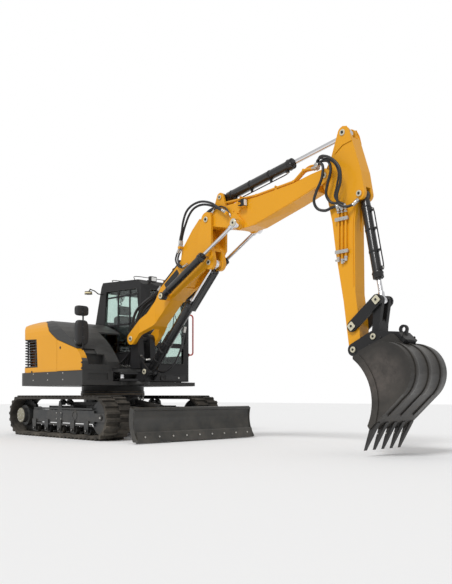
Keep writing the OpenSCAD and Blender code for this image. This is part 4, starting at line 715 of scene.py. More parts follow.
# wiper on the front pane: its arm, blade and hub
wiper = bmesh.new()
sweep(wiper, through([(0.822, 0.80, 1.465), (0.836, 0.80, 1.50), (0.838, 0.70, 1.75), (0.826, 0.62, 1.97)],
    6), 0.006, 8)
sweep(wiper, through([(0.824, 0.565, 1.66), (0.822, 0.605, 1.88), (0.796, 0.64, 2.10), (0.768, 0.665, 2.27)],
    6), 0.007, 6)
turned(wiper, [(0, 0), (0.022, 0), (0.022, 0.012), (0.016, 0.020), (0, 0.021)],
    facing((0.8105, 0.80, 1.462), (1, 0, 0)), 20)
piece("front_wiper", wiper, plastic, "upper")

# mirrors: rounded shells on one post, with their glasses towards the seat
silvering = coat("mirror_glass", (0.72, 0.75, 0.76), 0.06, wear_and_highlight=0.0, dirt=0.03, bump=0.0, spread=0.03,
    metallic=1.0)


def pillow(bm, size, place, power, steps):
    """A rounded shell inside a box of that size."""
    verts = {}
    for i in range(steps + 1):
        lat = math.pi * (i / steps - 0.5)
        pole = i in (0, steps)
        for j in range(2 * steps):
            if pole and j:
                verts[i, j] = verts[i, 0]
                continue
            lon = math.pi * j / steps
            point = (math.cos(lat) * math.cos(lon), math.cos(lat) * math.sin(lon), math.sin(lat))
            if pole:
                point = (0, 0, 1 if i else -1)
            norm = sum(abs(c) ** power for c in point) ** (1 / power)
            verts[i, j] = bm.verts.new(place @ Vector([c / norm * s / 2 for c, s in zip(point, size)]))
    for i in range(steps):
        for j in range(2 * steps):
            m = (j + 1) % (2 * steps)
            bm.faces.new(list(dict.fromkeys((verts[i, j], verts[i, m], verts[i + 1, m], verts[i + 1, j]))))


MIRROR_Y, POST_X = -0.990, 0.632
shells, mirror_glass, stand = forms(3)
for z0, z1 in ((1.395, 1.765), (1.830, 1.980)):
    pillow(shells, (0.088, 0.215, z1 - z0), move(0.590, MIRROR_Y, (z0 + z1) / 2), 4.5, 16)
    pillow(mirror_glass, (0.012, 0.185, z1 - z0 - 0.03), move(0.5475, MIRROR_Y, (z0 + z1) / 2), 6.0, 14)
    for share in (0.3, 0.7):
        turned(stand, [(0.0135, -0.012), (0.021, -0.010), (0.021, 0.010), (0.0135, 0.012)],
            move(POST_X, MIRROR_Y, z0 + share * (z1 - z0)), 16)
sweep(stand, [(POST_X, MIRROR_Y, z) for z in (1.345, 1.60, 1.80, 1.965)], 0.0125, 14)
sweep(stand, through([(x, MIRROR_Y, z) for x, z in ((0.590, 1.318), (0.592, 1.335), (0.622, 1.345),
    (POST_X, 1.37))], 5), 0.0135, 14)
turned(stand, [(0.013, 0.072), (0.020, 0.062), (0.026, 0.030), (0.044, 0.022), (0.045, 0.006), (0.045, 0)],
    move(0.590, MIRROR_Y, 1.302), 32)
housings = piece("mirror_housings", shells, plastic, "upper")
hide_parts("mirrors")
piece("mirror_panes", mirror_glass, silvering, "upper")
piece("mirror_post", stand, black_oxide, "upper")

# roof: lenses and bars of the work lamps, the beacon's dome, a lamp cable and the grab rods
lens_clear = coat("lamp_lens", (0.86, 0.87, 0.86), 0.12, wear_and_highlight=0.0, dirt=0.04, grain=60.0, bump=0.02,
    spread=0.04, gloss=0.6)
cream_lens = coat("beacon_lens", (0.80, 0.70, 0.42), 0.22, wear_and_highlight=0.0, dirt=0.08, grain=60.0, bump=0.02,
    spread=0.06, gloss=0.4)
lenses, bezels, dome, rods = forms(4)
for y in (0.240, 0.765):
    plate(lenses, rounded(0.098, 0.062, 0.01, (y, 2.502)), front_wall(0.7602), 0.004)
    rim(bezels, box_outline(y - 0.053, y + 0.053, 2.468, 2.536), lambda p: (0.762, p.x, p.y), 0.005, 0.012)
    for k in range(3):
        plate(bezels, rounded(0.0035, 0.070, 0.001, (y - 0.03 + 0.03 * k, 2.502)), front_wall(0.693), 0.007)
turned(dome, [(0.0625, 0.001), (0.0632, 0.010), (0.0632, 0.030), (0.058, 0.0445), (0.040, 0.049),
    (0.015, 0.050), (0, 0.050)], move(-0.430, -0.200, 2.3385), 36)
turned(bezels, [(0.0635, 0.004), (0.066, 0.006), (0.066, 0.012), (0.0635, 0.014)],
    move(-0.430, -0.200, 2.334), 36)
for x, y0, y1 in ((-0.15, 0.10, 0.90), (0.42, 0.12, 0.88)):
    foot = 2.541 - max(0, x) * 0.05
    sweep(rods, through([(x, y0, foot), (x, y0 + 0.012, 2.575), (x, (y0 + y1) / 2, 2.582),
        (x, y1 - 0.012, 2.575), (x, y1, foot)], 6), 0.006, 8)
sweep(rods, through([(0.655, 0.26, 2.475), (0.60, 0.30, 2.512), (0.50, 0.42, 2.522), (0.30, 0.50, 2.530),
    (0.10, 0.47, 2.540), (-0.20, 0.50, 2.548)], 6), 0.004, 6)
piece("lamp_lenses", lenses, lens_clear, "upper", 0.001)
piece("lamp_bezels", bezels, plastic, "upper")
piece("beacon_dome", dome, cream_lens, "upper")
piece("roof_rods", rods, black_oxide, "upper")

# cab fan inside the right window: hub, five blades, wire guard and its bent foot
fan_at = Vector((0.030, 0.105, 2.285))
fan_place = facing(fan_at, (0, 1, 0))
fan, hub = forms(2)
for r, z in ((0.092, 0.0), (0.094, 0.018), (0.092, 0.036), (0.062, 0.040), (0.062, -0.004)):
    sweep(fan, [fan_place @ Vector((*on_circle(r, 10 * k), z)) for k in range(36)], 0.003, 6, True)
for k in range(24):
    spoke = [(0.026, -0.005), (0.07, -0.004), (0.092, 0.002), (0.094, 0.018), (0.092, 0.034), (0.07, 0.040),
        (0.026, 0.041)]
    sweep(fan, [fan_place @ Vector((*on_circle(r, 15 * k), z)) for r, z in spoke], 0.0014, 5)
for k in range(5):
    corners = []
    for r in (0.022, 0.045, 0.068, 0.084):
        for w in (-1, 1):
            spot = on_circle(r, 72 * k + math.degrees(0.42 * w * (1.1 - r * 4)))
            corners.append(fan.verts.new(fan_place @ Vector((*spot, 0.018 + 0.012 * w))))
    for i in range(0, 6, 2):
        fan.faces.new((corners[i], corners[i + 1], corners[i + 3], corners[i + 2]))
sweep(fan, through([fan_at + Vector(step) for step in ((0, 0.02, -0.095), (0.02, 0.03, -0.13),
    (0.03, -0.02, -0.155), (0.03, -0.052, -0.165))], 5), 0.008, 8)
turned(hub, [(0, -0.010), (0.018, -0.010), (0.026, -0.004), (0.027, 0.040), (0.020, 0.052), (0, 0.054)],
    fan_place, 24)
piece("fan_guard", fan, plastic, "upper")
piece("fan_hub", hub, cream_lens, "upper")

# Seat: padded cushion, back and headrest in woven cloth on a sprung base
# Foam under sewn fabric, crowned in the middle, with sewn channels. A rubber bellows closes
# the sprung base.
fabric, tree, shader = plain_material("seat_fabric")
weave = add_node(tree, "ShaderNodeTexWave", Scale=190.0, Distortion=1.5)
feed(tree, tree.nodes.new("ShaderNodeTexCoord").outputs["Object"], weave.inputs["Vector"])
yarn = maths(tree, "MULTIPLY", weave.outputs["Fac"], placed(tree, tone, Slow=5.0, Fine=420.0)["Fine"])
cloth = mixed(tree, yarn, (0.040, 0.042, 0.045, 1), (0.105, 0.108, 0.112, 1))
feed(tree, cloth, shader.inputs["Base Color"])
shader.inputs["Roughness"].default_value = 0.92
raise_by(tree, shader, yarn, 0.35, 0.001)


def cushion(name, size, place, channels, crown, *replaced):
    """A crowned pad inside a box of that size: sides drawn in between the corners, with sewn channels."""
    bm = bmesh.new()
    bmesh.ops.create_cube(bm, size=1.0)
    bmesh.ops.subdivide_edges(bm, edges=bm.edges, cuts=23, use_grid_fill=True)
    for v in bm.verts:
        x, y, z = v.co * 2
        pull = 1 - 0.055 * (1 - abs(x) ** 2.2) * (abs(y) > 0.9) - 0.02 * abs(z) ** 4
        reach = (abs(x) ** 6 + abs(y) ** 6 + abs(z) ** 6) ** (1 / 6)
        x, y, z = x / reach, y / reach, z / reach
        dome_up = crown * (1 - x * x) * (1 - y * y)
        seam = sum(math.exp(-((x - c) / 0.035) ** 2) for c in channels) * 0.055 * (z > 0) * (abs(y) < 0.78)
        seam += math.exp(-((abs(y) - 0.70) / 0.03) ** 2) * 0.05 * (z > 0)
        top = 0.86 + dome_up - seam if z > 0 else 1.0
        v.co = Vector((x * size[0] / 2, y * pull * size[1] / 2, z * top * size[2] / 2))
    bm.transform(place)
    pad = piece(name, bm, fabric, "upper", 0, 80)
    if replaced:
        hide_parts(*replaced)


SEAT_Y, ARMREST_OUT = 0.5025, 0.292
UPRIGHT = Matrix(((0, 0, 1, 0), (0, 1, 0, 0), (-1, 0, 0, 0), (0, 0, 0, 1)))
back = move(-0.298, SEAT_Y, 1.3825) @ turn(-10, "Y")
seat_metal, bellows = forms(2)
cushion("seat_cushion_pad", (0.515, 0.485, 0.118), move(-0.040, SEAT_Y, 1.3215), (-0.35, 0.05, 0.45), 0.13,
    "seat_cushion")
cushion("seat_back_pad", (0.625, 0.475, 0.108), back @ move(0.055, 0, 0.320) @ UPRIGHT, (-0.5, -0.05, 0.4),
    0.13, "seat_back")
cushion("headrest_pad", (0.150, 0.265, 0.085), back @ move(0.052, 0, 0.735) @ UPRIGHT, (), 0.12)
for s, side in ((-1, "right"), (1, "left")):
    y = SEAT_Y + s * ARMREST_OUT
    cushion("armrest_pad_" + side, (0.30, 0.062, 0.045), move(-0.075, y, 1.545), (), 0.10)
    sweep(seat_metal, [back @ Vector((0.052, s * 0.06, z)) for z in (0.628, 0.65, 0.70)], 0.007, 10)
    sweep(seat_metal, through([(-0.25, SEAT_Y + s * 0.262, 1.47), (-0.25, SEAT_Y + s * 0.285, 1.50),
        (-0.22, y, 1.524), (0.05, y, 1.520)], 5), 0.010, 10)
for k in range(7):
    w = 0.452 if k % 2 else 0.474
    rim(bellows, [(-w / 2, -w * 0.44), (w / 2, -w * 0.44), (w / 2, w * 0.44), (-w / 2, w * 0.44)],
        lambda p, k=k: (-0.060 + p.x, SEAT_Y + p.y, 1.045 + 0.028 * k), 0.010)
piece("seat_rods", seat_metal, zinc, "upper")
piece("seat_bellows", bellows, seal_rubber, "upper")

# levers' knobs and boots, the travel pedals, the monitor and the ribbed floor mat
knobs, pedals, monitor, screen, mat = forms(5)
for s in (-1, 1):
    lever = move(0.200, SEAT_Y + s * 0.330, 0)
    turned(knobs, [(0.058, 1.492), (0.056, 1.500), (0.046, 1.506), (0.048, 1.514), (0.037, 1.520),
        (0.039, 1.528), (0.028, 1.534), (0.019, 1.545)], lever, 24)
    turned(knobs, [(0.019, 1.56), (0.024, 1.575), (0.021, 1.60), (0.026, 1.635), (0.028, 1.660),
        (0.022, 1.680), (0.012, 1.688), (0, 1.690)], lever, 20)
    y = SEAT_Y + s * 0.090
    pedal = move(0.565, y, 1.010) @ turn(-28, "Y")
    plate(pedals, rounded(0.20, 0.085, 0.015), pedal, 0.010)
    for k in range(6):
        plate(pedals, rounded(0.010, 0.075, 0.003, (-0.075 + 0.03 * k, 0)), pedal @ move(0, 0, 0.010), 0.004)
    turned(pedals, [(0.0145, 1.36), (0.022, 1.37), (0.026, 1.395), (0.022, 1.418), (0.010, 1.428),
        (0, 1.430)], move(0.600, y, 0), 20)
monitor_place = move(0.600, 0.135, 1.640) @ turn(25, "Z") @ turn(12, "Y")
pillow(monitor, (0.050, 0.205, 0.150), monitor_place, 6.0, 14)
sweep(monitor, through([(0.615, 0.125, 1.57), (0.64, 0.105, 1.52), (0.655, 0.075, 1.46), (0.66, 0.062, 1.42)],
    5), 0.012, 10)
screen_face = Matrix(((0, 0, -1, -0.0252), (0, 1, 0, 0), (1, 0, 0, 0), (0, 0, 0, 1)))
plate(screen, rounded(0.105, 0.150, 0.008), monitor_place @ screen_face, 0.002)
plate(mat, rounded(1.02, 0.72, 0.03, (0.18, SEAT_Y)), move(0, 0, 0.9305), 0.004)
for k in range(26):
    plate(mat, rounded(0.012, 0.66, 0.004, (-0.29 + 0.038 * k, SEAT_Y)), move(0, 0, 0.9345), 0.003)
screen_glass = coat("screen_glass", (0.030, 0.045, 0.055), 0.10, wear_and_highlight=0.0, dirt=0.02, grain=80.0, bump=0.0,
    spread=0.1, gloss=0.8)
piece("lever_knobs", knobs, plastic, "upper")
piece("travel_pedals", pedals, black_oxide, "upper")
piece("cab_monitor", monitor, plastic, "upper")
piece("monitor_screen", screen, screen_glass, "upper")
piece("floor_mat", mat, seal_rubber, "upper")

# feet of the handrail beside the door
feet = bmesh.new()
for z in (1.320, 1.990):
    turned(feet, [(0.0125, 0.016), (0.020, 0.012), (0.028, 0.006), (0.028, 0)],
        facing((0.752, 0.9853, z), (0, 1, 0)), 24)
piece("handrail_feet", feet, red_paint, "upper")

# Attachment: swing post, two boom pieces, arm, cylinders, linkage and bucket
# Booms and arm are welded boxes of plate, painted yellow. Barrels are sprayed black, rods are
# chromed, and the bucket is bare of fresh paint and dark from use.
bucket_steel = coat("bucket_steel", (0.021, 0.019, 0.017), 0.36, wear_and_highlight=0.3, wear_and_highlight_color=(0.13, 0.12, 0.11, 1),
    dirt=0.12, dirt_height=1.6, spread=0.35, gloss=0.15, shine=0.4)
cylinder_black = coat("cylinder_black", (0.012, 0.012, 0.013), 0.26, wear_and_highlight=0.08, dirt=0.06, grain=120.0,
    gloss=0.3, shine=0.4)
# the middle of the bucket's side plates is handled bare and dull: a grey smear that fades to the rims
tree = bucket_steel.node_tree
shader = tree.nodes["Principled BSDF"]
spot = tree.nodes.new("ShaderNodeTexCoord").outputs["Object"]
side_view = add_node(tree, "ShaderNodeVectorMath", operation="MULTIPLY")
side_view.inputs[1].default_value = (1, 0, 1)
feed(tree, spot, side_view.inputs[0])
span = add_node(tree, "ShaderNodeVectorMath", operation="DISTANCE")
span.inputs[1].default_value = (5.455, 0, 0.86)
feed(tree, side_view.outputs[0], span.inputs[0])
fade = ranged(tree, span.outputs["Value"], From_Min=0.16, From_Max=0.30, To_Min=1.0, To_Max=0.0)
across = along_axis(tree, tree.nodes.new("ShaderNodeNewGeometry").outputs["Normal"], "Y")
patchy = ranged(tree, noise(tree, 7.0, 6.0, 0.7), From_Min=0.30, From_Max=0.62, To_Max=0.75)
flank = maths(tree, "ABSOLUTE", across)
handled = maths(tree, "MULTIPLY", maths(tree, "MULTIPLY", fade, patchy), flank, True)
under = shader.inputs["Base Color"].links[0].from_socket
feed(tree, mixed(tree, handled, under, (0.095, 0.080, 0.070, 1)), shader.inputs["Base Color"])
dress(cylinder_black, "swing_barrel", "lift_barrel", "adjust_barrels", "arm_barrel", "bucket_barrel",
    "lift_guard")
dress(black_paint, "swing_post", "rocker", "link", "coupler", "boom_lamp")
dress(chrome, "swing_rod", "lift_rod", "adjust_rods", "arm_rod", "bucket_rod")
dress(yellow_paint, "lower_boom", "upper_boom", "arm", "boom_pipes", "arm_pipes")
dress(bucket_steel, "bucket")
dress(black_oxide, "bucket_teeth", edge=0.006)

# Caps of the pins: pale zinc-yellow discs held by a bolt, and square plates on the rocker
# The caps keep the pins from walking out. Each sits on the end of its pin.
cream_zinc = coat("cream_zinc", (0.66, 0.62, 0.47), 0.42, wear_and_highlight=0.2, dirt=0.15, grain=140.0, spread=0.10,
    metallic=0.35)
LIFT_PINS = (1.220, 1.000), (2.620, 2.440)
ADJUST_PINS = (1.770, 2.060), (3.210, 2.850)
ARM_PINS = (2.810, 3.290), (4.800, 3.620)
BUCKET_PINS = (5.020, 2.880), (5.250, 1.675)


def round_cap(disc, screw, x, z, off, r, dot):
    """The same cap on both sides of the machine's boom, off from its centre."""
    for s in (-1, 1):
        turned(disc, [(0, 0), (r, 0), (r, 0.006), (r * 0.9, 0.010), (r * 0.62, 0.010), (r * 0.56, 0.007),
            (0, 0.007)], facing((x, MID_Y + s * off, z), (0, s, 0)), 32)
        bolt(screw, (x, MID_Y + s * (off + 0.007), z), (0, s, 0), r * dot, 17)


def square_cap(disc, screw, x, z, off, half, lean):
    """A square plate with a ring and a bolt on both sides, leaning by some degrees."""
    u, v = on_circle(1, lean)
    for s in (-1, 1):
        place = Matrix(((u, -v, 0, x), (0, 0, s, MID_Y + s * off), (v, u, 0, z), (0, 0, 0, 1)))
        plate(disc, rounded(2 * half, 2 * half, half * 0.32), place, 0.009)
        turned(disc, [(half * 0.62, 0.009), (half * 0.58, 0.013), (half * 0.40, 0.013), (half * 0.36, 0.009)],
            place, 28)
        bolt(screw, (x, MID_Y + s * (off + 0.0092), z), (0, s, 0), half * 0.26, 30)


for body, spots in (
        ("swing_post_body", ((1.030, 1.495, 0.2363, 0.040, 0.34), (*LIFT_PINS[0], 0.1213, 0.040, 0.30))),
        ("lower_boom_body", ((*ADJUST_PINS[0], 0.2633, 0.040, 0.26), (2.600, 3.020, 0.1603, 0.038, 0.36),
            (*LIFT_PINS[1], 0.1253, 0.036, 0.36))),
        ("adjusting_rods", ((*ADJUST_PINS[1], 0.2553, 0.044, 0.26),)),
        ("upper_boom_body", ((*ARM_PINS[0], 0.1033, 0.030, 0.34), (4.560, 3.180, 0.1253, 0.034, 0.30))),
        ("arm_body", ((*ARM_PINS[1], 0.1003, 0.036, 0.34), (*BUCKET_PINS[0], 0.1003, 0.034, 0.34))),
        ("bucket_body", ((5.210, 1.280, 0.1273, 0.034, 0.30), (4.950, 1.150, 0.1273, 0.034, 0.30)))):
    disc, screw = forms(2)
    for spot in spots:
        round_cap(disc, screw, *spot)
    piece(body + "_pin_caps", disc, cream_zinc, body)
    piece(body + "_cap_bolts", screw, black_oxide, body)
disc, screw = forms(2)
square_cap(disc, screw, 4.930, 1.410, 0.1273, 0.040, 40)
square_cap(disc, screw, *BUCKET_PINS[1], 0.1273, 0.040, 40)
piece("rocker_pin_plates", disc, cream_zinc, "rocker_body", 0.001)
piece("rocker_cap_bolts", screw, black_oxide, "rocker_body")

# Cylinders of the boom, arm and bucket: ports, tubes and gland bolts
# Honed tubes sprayed black, with screwed glands and steel tubes clamped along the barrels.
lift_line = pin_line(*LIFT_PINS, MID_Y)
cylinder_trim("lift_cylinder", "lift_cylinder", lift_line, 0.068, 0.032, 1.310, 180, 0.22, 0.60)
for s, side in ((-1, "right"), (1, "left")):
    cylinder_trim("adjust_cylinder_" + side, "adjusting_cylinders", pin_line(*ADJUST_PINS, MID_Y + s * 0.220),
        0.050, 0.024, 0.950)
cylinder_trim("arm_cylinder", "arm_cylinder", pin_line(*ARM_PINS, MID_Y), 0.060, 0.028, 1.200, 0)
cylinder_trim("bucket_cylinder", "bucket_cylinder", pin_line(*BUCKET_PINS, MID_Y), 0.054, 0.026, 0.970, 180)
swing_way = Vector((0.870 + 0.150, -0.450 + 0.060, 0)).normalized()
swing_place = Matrix((Vector((0, 0, 1)).cross(swing_way) * -1, (0, 0, 1), swing_way)).transposed().to_4x4()
swing_place.translation = (-0.150, -0.060, 0.930)
cylinder_trim("swing_cylinder", "swing_cylinder", swing_place, 0.048, 0.022, 0.700)
# folded ribs and fixing bolts of the lift rod's guard
ribs = bmesh.new()
for s in (-1, 1):
    plate(ribs, rounded(0.016, 0.56, 0.004, (s * 0.036, 1.585)), lift_line @ front_wall(0.0960), 0.004)
    bolt(ribs, lift_line @ Vector((0.0962, s * 0.022, 1.905)), lift_line.to_3x3() @ Vector((1, 0, 0)), 0.011)
piece("guard_ribs", ribs, cylinder_black, "lift_rod_body", 0.001)

# Hoses over the joint of the two booms, to the adjusting cylinders and beside the lift cylinder
# Rubber over steel braid, with pressed silver ends.
mid_black, mid_ends, boss_plates, boss_nuts = forms(4)
for s in (-1, 1):
    for out, lift in ((0.140, 0.0), (0.170, 0.035)):
        y = MID_Y + s * out
        way = through([(2.080, y, 2.7425), (2.086, y, 2.83), (2.120, y, 2.94), (2.180 - lift, y, 3.060),
            (2.245 - lift, y, 3.155 + lift), (2.335 - lift / 2, y, 3.222 + lift), (2.460, y, 3.245 + lift),
            (2.590, y, 3.228 + lift), (2.730, y, 3.175 + lift), (2.860, y, 3.110 + lift / 2),
            (2.9855, y, 3.0470)], 5)
        sweep(mid_black, way, 0.0155, 14)
        hose_end(mid_ends, way[0], way[1] - way[0], 0.0155)
        hose_end(mid_ends, way[-1], way[-2] - way[-1], 0.0155)
        bolt(boss_nuts, (2.080, y, 2.7415), (0, 0, 1), 0.017)
    turned(boss_plates, [(0, 0), (0.026, 0), (0.026, 0.004), (0, 0.004)],
        facing((2.080, MID_Y + s * 0.1852, 2.720), (0, s, 0)), 20)
tubes = piece("mid_joint_hoses", mid_black, hose_rubber, None)
nuts = piece("mid_joint_hose_ends", mid_ends, zinc, None)
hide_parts("mid_hoses")
for made in (tubes, nuts):
    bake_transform(made)
piece("boss_plates", boss_plates, yellow_paint, "lower_boom_body", 0.001)
piece("boss_nuts", boss_nuts, zinc, "lower_boom_body")
# loops that run on from the bosses down the lower boom, and the hose to the adjusting cylinder's eye
for k, out in enumerate((0.128, 0.152)):
    y, back_by = MID_Y - out, 0.02 * k
    hose("lower_loop_%d" % (k + 1), "lower_boom_body", [(2.062 - back_by, y, 2.705),
        (2.020 - back_by, y - 0.004, 2.640), (2.000 - back_by, y - 0.010, 2.560),
        (2.045 - back_by, y - 0.014, 2.480), (2.125 - back_by, y - 0.014, 2.445 - 0.012 * k),
        (2.20, y - 0.012, 2.470 - 0.02 * k)], 0.0125)
hose("adjust_eye_hose", "upper_boom_body", [(2.700, -0.312, 3.105), (2.760, -0.318, 3.140),
    (2.860, -0.320, 3.150), (2.960, -0.320, 3.110), (3.020, -0.318, 3.040), (3.050, -0.312, 2.985)], 0.010)

# the bundle that climbs from the swing post to the lower boom's back, and runs up it under straps
straps, manifold = forms(2)
back_way, back_up = Vector((0.811, 0, 0.585)), Vector((-0.585, 0, 0.811))


def on_back(along, y, up):
    """A point on the lower boom's back: along it, across at y, up off the plate."""
    return Vector((1.590, y, 2.210)) + back_way * along + back_up * up


def back_place(along, up):
    """Place of a plate that lies on that back."""
    place = Matrix((back_way, (0, 1, 0), back_up)).transposed().to_4x4()
    place.translation = on_back(along, MID_Y, up)
    return place


for k, (y, r, sway) in enumerate(((-0.075, 0.015, -0.03), (-0.118, 0.015, 0.02), (-0.160, 0.013, 0.0),
        (-0.200, 0.013, 0.01), (-0.240, 0.015, -0.01), (-0.283, 0.015, 0.03))):
    y0 = MID_Y + 0.020 * (2.5 - k)
    hose("feed_hose_%d" % (k + 1), "swing_post_body", [(0.915, y0, 1.452), (0.892, y0, 1.530),
        (0.870, (y + y0) / 2, 1.640), (0.872 + sway, y, 1.765), (0.935 + sway, y, 1.900),
        (1.060, y, 2.010 - sway), (1.230, y, 2.082 - sway), (1.400, y, 2.126), (1.515, y, 2.180),
        on_back(0.0, y, 0.019)], r, ("lower_boom_body", (0.89, MID_Y, 1.60), (1.45, MID_Y, 2.14)), 5)
    on_boom = bmesh.new()
    sweep(on_boom, [on_back(along, y, 0.019) for along in (0.0, 0.16, 0.32, 0.505)], r, 12)
    piece("boom_back_hose_%d" % (k + 1), on_boom, hose_rubber, "lower_boom_body")
for along in (0.11, 0.36):
    plate(straps, rounded(0.040, 0.236, 0.012), back_place(along, 0.0345), 0.006)
    for y in (MID_Y - 0.061, MID_Y, MID_Y + 0.061):
        bolt(straps, on_back(along, y, 0.0405), back_up, 0.009)
        turned(straps, [(0, 0), (0.004, 0), (0.004, 0.0345), (0, 0.0345)],
            facing(on_back(along, y, 0), back_up), 8)
plate(manifold, rounded(0.046, 0.232, 0.008), back_place(0.520, 0), 0.042)
for k in range(6):
    bolt(manifold, on_back(0.520, MID_Y + 0.038 * (k - 2.5), 0.042), back_up, 0.011)
piece("boom_back_straps", straps, yellow_paint, "lower_boom_body", 0.001)
piece("boom_back_manifold", manifold, black_oxide, "lower_boom_body", 0.0015)

# lock valves of the adjusting cylinders on both sides of the lower boom, with their fittings
valve, valve_bright = forms(2)
for s in (-1, 1):
    place = pin_line((1.700, 2.215), (1.985, 2.400), MID_Y + s * 0.1205) @ turn(-90 * s, "Z")
    out_way, up_way = (place.to_3x3() @ Vector(way) for way in ((1, 0, 0), (0, 0, 1)))
    plate(valve, rounded(0.092, 0.340, 0.012, (0.0, 0.170)), place @ front_wall(0), 0.056)
    plate(valve, rounded(0.070, 0.120, 0.010, (0.0, 0.100)), place @ front_wall(0.056), 0.012)
    for u in (-0.028, 0.0, 0.028):
        hose_end(valve_bright, place @ Vector((0.028, u, -0.045)), up_way, 0.009)
    for u, v in ((-0.036, 0.03), (0.036, 0.03), (-0.036, 0.31), (0.036, 0.31)):
        bolt(valve_bright, place @ Vector((0.056, u, v)), out_way, 0.009)
piece("lock_valves", valve, cylinder_black, "lower_boom_body", 0.002)
piece("lock_valve_bolts", valve_bright, zinc, "lower_boom_body")

# hoses from the swing post to the lift cylinder: a short one at its base, and a long one that sags
hose("lift_base_hose", "swing_post_body", [(1.115, -0.272, 1.240), (1.150, -0.300, 1.235),
    (1.205, -0.310, 1.200), (1.265, -0.300, 1.175), (1.310, -0.275, 1.180)], 0.011,
    ("lift_cylinder", (1.14, -0.18, 1.2), (1.29, -0.18, 1.2)), 6)
hose("lift_sag_hose", "swing_post_body", [(1.150, -0.085, 1.120), (1.250, -0.070, 1.020),
    (1.400, -0.060, 0.995), (1.580, -0.060, 1.080), (1.740, -0.070, 1.250), (1.850, -0.085, 1.450),
    (1.905, -0.100, 1.620)], 0.015, ("lift_cylinder", (1.16, -0.1, 1.0), (1.50, -0.1, 1.0)))

# Boom's and arm's steel pipes: clamps, unions and the four hoses at the arm joint
# Painted steel pipes in pairs, bolted down under clamp bars; the hoses hang in loose loops.
clamps, unions, arm_clamps, arm_nuts = forms(4)
for x, z in ((3.212, 3.186), (3.812, 3.192)):
    plate(clamps, rounded(0.034, 0.090, 0.006), move(x, -0.259, z + 0.0165), 0.010)
    for y in (-0.2985, -0.259, -0.2195):
        bolt(clamps, (x, y, z + 0.0265), (0, 0, 1), 0.008)
for k in range(2):
    hose_end(unions, (4.376, -0.280 + 0.042 * k, 3.3115), (0.99, -0.04, 0.0), 0.0135)
piece("boom_pipe_clamps", clamps, yellow_paint, "upper_boom_body", 0.001)
piece("boom_pipe_unions", unions, zinc, "upper_boom_body")
PIPE_Y = -0.290
for z in (2.632, 2.262):
    plate(arm_clamps, rounded(0.176, 0.040, 0.008, (4.800, z)), side_wall(-0.3012, -1), 0.010)
    plate(arm_clamps, rounded(0.170, 0.030, 0.006, (4.800, z)), side_wall(-0.2760, -1), 0.008)
    for x in (4.775, 4.825):
        bolt(arm_nuts, (x, -0.3112, z), (0, -1, 0), 0.010, 9)
for k, x in enumerate((4.750, 4.800, 4.850)):
    turned(arm_nuts, [(0.011, 2.700), (0.018, 2.702), (0.018, 2.722), (0.0115, 2.724)], move(x, PIPE_Y, 0), 6)
    low = move(x, PIPE_Y, 2.180 - 0.026 * (k % 2))
    turned(arm_nuts, [(0, -0.028), (0.013, -0.028), (0.016, -0.022), (0.016, 0.004), (0.019, 0.006),
        (0.019, 0.026), (0.011, 0.028)], low, 6)
    turned(arm_nuts, [(0, 0), (0.010, 0), (0.010, 0.028), (0.013, 0.030), (0.013, 0.040), (0, 0.042)],
        low @ move(0, 0, -0.008) @ turn(90 if k % 2 else -90, "Y"), 6)
piece("arm_pipe_clamps", arm_clamps, zinc, "arm_body", 0.001)
piece("arm_pipe_unions", arm_nuts, zinc, "arm_body")
for k, (r, points) in enumerate((
        (0.0165, [(4.4145, -0.280, 3.310), (4.510, -0.320, 3.330), (4.600, -0.378, 3.250),
            (4.590, -0.392, 3.110), (4.515, -0.392, 2.980), (4.470, -0.378, 2.880), (4.500, -0.350, 2.795),
            (4.590, -0.322, 2.762), (4.680, -0.304, 2.786), (4.735, -0.294, 2.780), (4.750, PIPE_Y, 2.743)]),
        (0.0165, [(4.4145, -0.238, 3.310), (4.510, -0.300, 3.352), (4.650, -0.345, 3.310),
            (4.690, -0.352, 3.200), (4.650, -0.355, 3.060), (4.615, -0.340, 2.940), (4.665, -0.318, 2.845),
            (4.760, -0.300, 2.806), (4.800, PIPE_Y, 2.743)]),
        (0.0115, [(4.405, -0.272, 3.345), (4.520, -0.330, 3.380), (4.735, -0.372, 3.280),
            (4.815, -0.376, 3.140), (4.780, -0.360, 3.000), (4.735, -0.338, 2.895), (4.775, -0.318, 2.830),
            (4.838, -0.296, 2.790), (4.850, PIPE_Y, 2.743)]),
        (0.0160, [(4.405, -0.240, 3.345), (4.530, -0.330, 3.400), (4.720, -0.402, 3.320),
            (4.845, -0.410, 3.190), (4.860, -0.402, 3.030), (4.800, -0.388, 2.880), (4.820, -0.370, 2.780),
            (4.905, -0.335, 2.745), (4.975, -0.303, 2.775), (5.000, -0.283, 2.805)]))):
    tube = hose("arm_hose_%d" % (k + 1), "upper_boom_body", points, r,
        ("arm_body", (4.47, -0.30, 3.30), (4.78, -0.30, 2.90)))
    if k == 0:
        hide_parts("arm_hoses")
feed_pipes = bmesh.new()
for k, y in enumerate((-0.272, -0.240)):
    sweep(feed_pipes, through([(4.405, y, 3.345), (4.330, y, 3.350), (4.270, y, 3.332 - 0.01 * k),
        (4.235, y, 3.305)], 5), 0.0095, 8)
piece("arm_feed_pipes", feed_pipes, yellow_paint, "upper_boom_body")

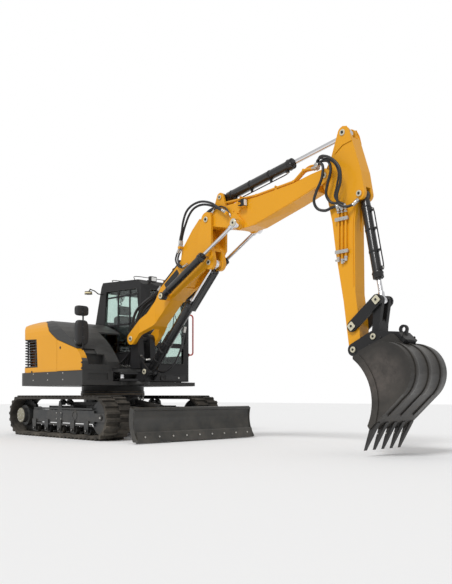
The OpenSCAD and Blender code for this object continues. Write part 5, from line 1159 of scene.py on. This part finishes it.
# boom lamp: its lens and its folded yellow bracket with three bolts
lamp_lens, bracket = forms(2)
plate(lamp_lens, rounded(0.050, 0.078, 0.008, (-0.344, 3.105)), front_wall(3.3402), 0.004)
for z in (3.052, 3.154):
    plate(bracket, rounded(0.125, 0.068, 0.01, (3.285, -0.337)), move(0, 0, z), 0.004)
plate(bracket, [(3.06, 3.02), (3.20, 3.00), (3.235, 3.05), (3.235, 3.14), (3.17, 3.165), (3.09, 3.12)],
    side_wall(-0.3004, -1), 0.008)
for x, z in ((3.10, 3.045), (3.20, 3.03), (3.18, 3.135)):
    bolt(bracket, (x, -0.3084, z), (0, -1, 0), 0.010)
piece("boom_lamp_lens", lamp_lens, lens_clear, "upper_boom_body", 0.001)
piece("boom_lamp_bracket", bracket, yellow_paint, "upper_boom_body", 0.001)

# weld beads of the upper boom and the arm, and the doubling plates on the arm's head
beads, head, arm_beads = forms(3)
for s in (-1, 1):
    y = MID_Y + s * 0.1208
    sweep(beads, through([(3.03, y, 2.855), (3.22, y, 2.805), (3.46, y, 2.812), (4.08, y, 2.972),
        (4.44, y, 3.078)], 4), 0.004, 6)
    plate(head, [(4.735, 3.590), (4.748, 3.655), (4.800, 3.694), (4.860, 3.680), (4.900, 3.600),
        (4.925, 3.500), (4.800, 3.478), (4.690, 3.400)], side_wall(MID_Y + s * 0.0953, s), 0.004)
    y = MID_Y + s * 0.0955
    sweep(arm_beads, through([(4.958, y, 2.74), (4.934, y, 2.52), (4.937, y, 2.10), (4.940, y, 1.86)], 3),
        0.004, 6)
piece("boom_weld_beads", beads, yellow_paint, "upper_boom_body")
piece("arm_head_plates", head, yellow_paint, "arm_body", 0.001)
piece("arm_weld_beads", arm_beads, yellow_paint, "arm_body")

# Coupler and bucket: discs and bolts on the coupler's plates, tooth adapters and their pins
# The coupler's plates are flame cut. Each cast tooth sits on an adapter that a cross pin holds.
yoke, adapters, adapter_pins = forms(3)
for s in (-1, 1):
    for x, z, r in ((5.075, 1.088, 0.042), (5.450, 1.238, 0.034)):
        turned(yoke, [(0, 0), (r, 0), (r, 0.008), (r * 0.8, 0.010), (0, 0.010)],
            facing((x, MID_Y + s * 0.1272, z), (0, s, 0)), 28)
    for x, z in ((5.165, 1.185), (5.300, 1.262), (5.400, 1.255), (5.500, 1.258), (5.560, 1.262)):
        bolt(yoke, (x, MID_Y + s * 0.1272, z), (0, s, 0), 0.011)
for k in range(5):
    tooth = move(5.318, MID_Y - 0.320 + 0.160 * k, 0.300) @ turn(19, "Y")
    plate(adapters, rounded(0.070, 0.150, 0.022), tooth @ move(0, 0, 0.035) @ front_wall(0.022), 0.016)
    turned(adapter_pins, [(0, 0), (0.009, 0), (0.009, 0.074), (0, 0.074)],
        tooth @ move(0.006, -0.037, -0.06) @ turn(-90, "X"), 12)
piece("coupler_plates", yoke, black_oxide, "bucket_body", 0.001)
piece("tooth_adapters", adapters, black_oxide, "bucket_body", 0.003)
piece("tooth_pins", adapter_pins, zinc, "bucket_body")
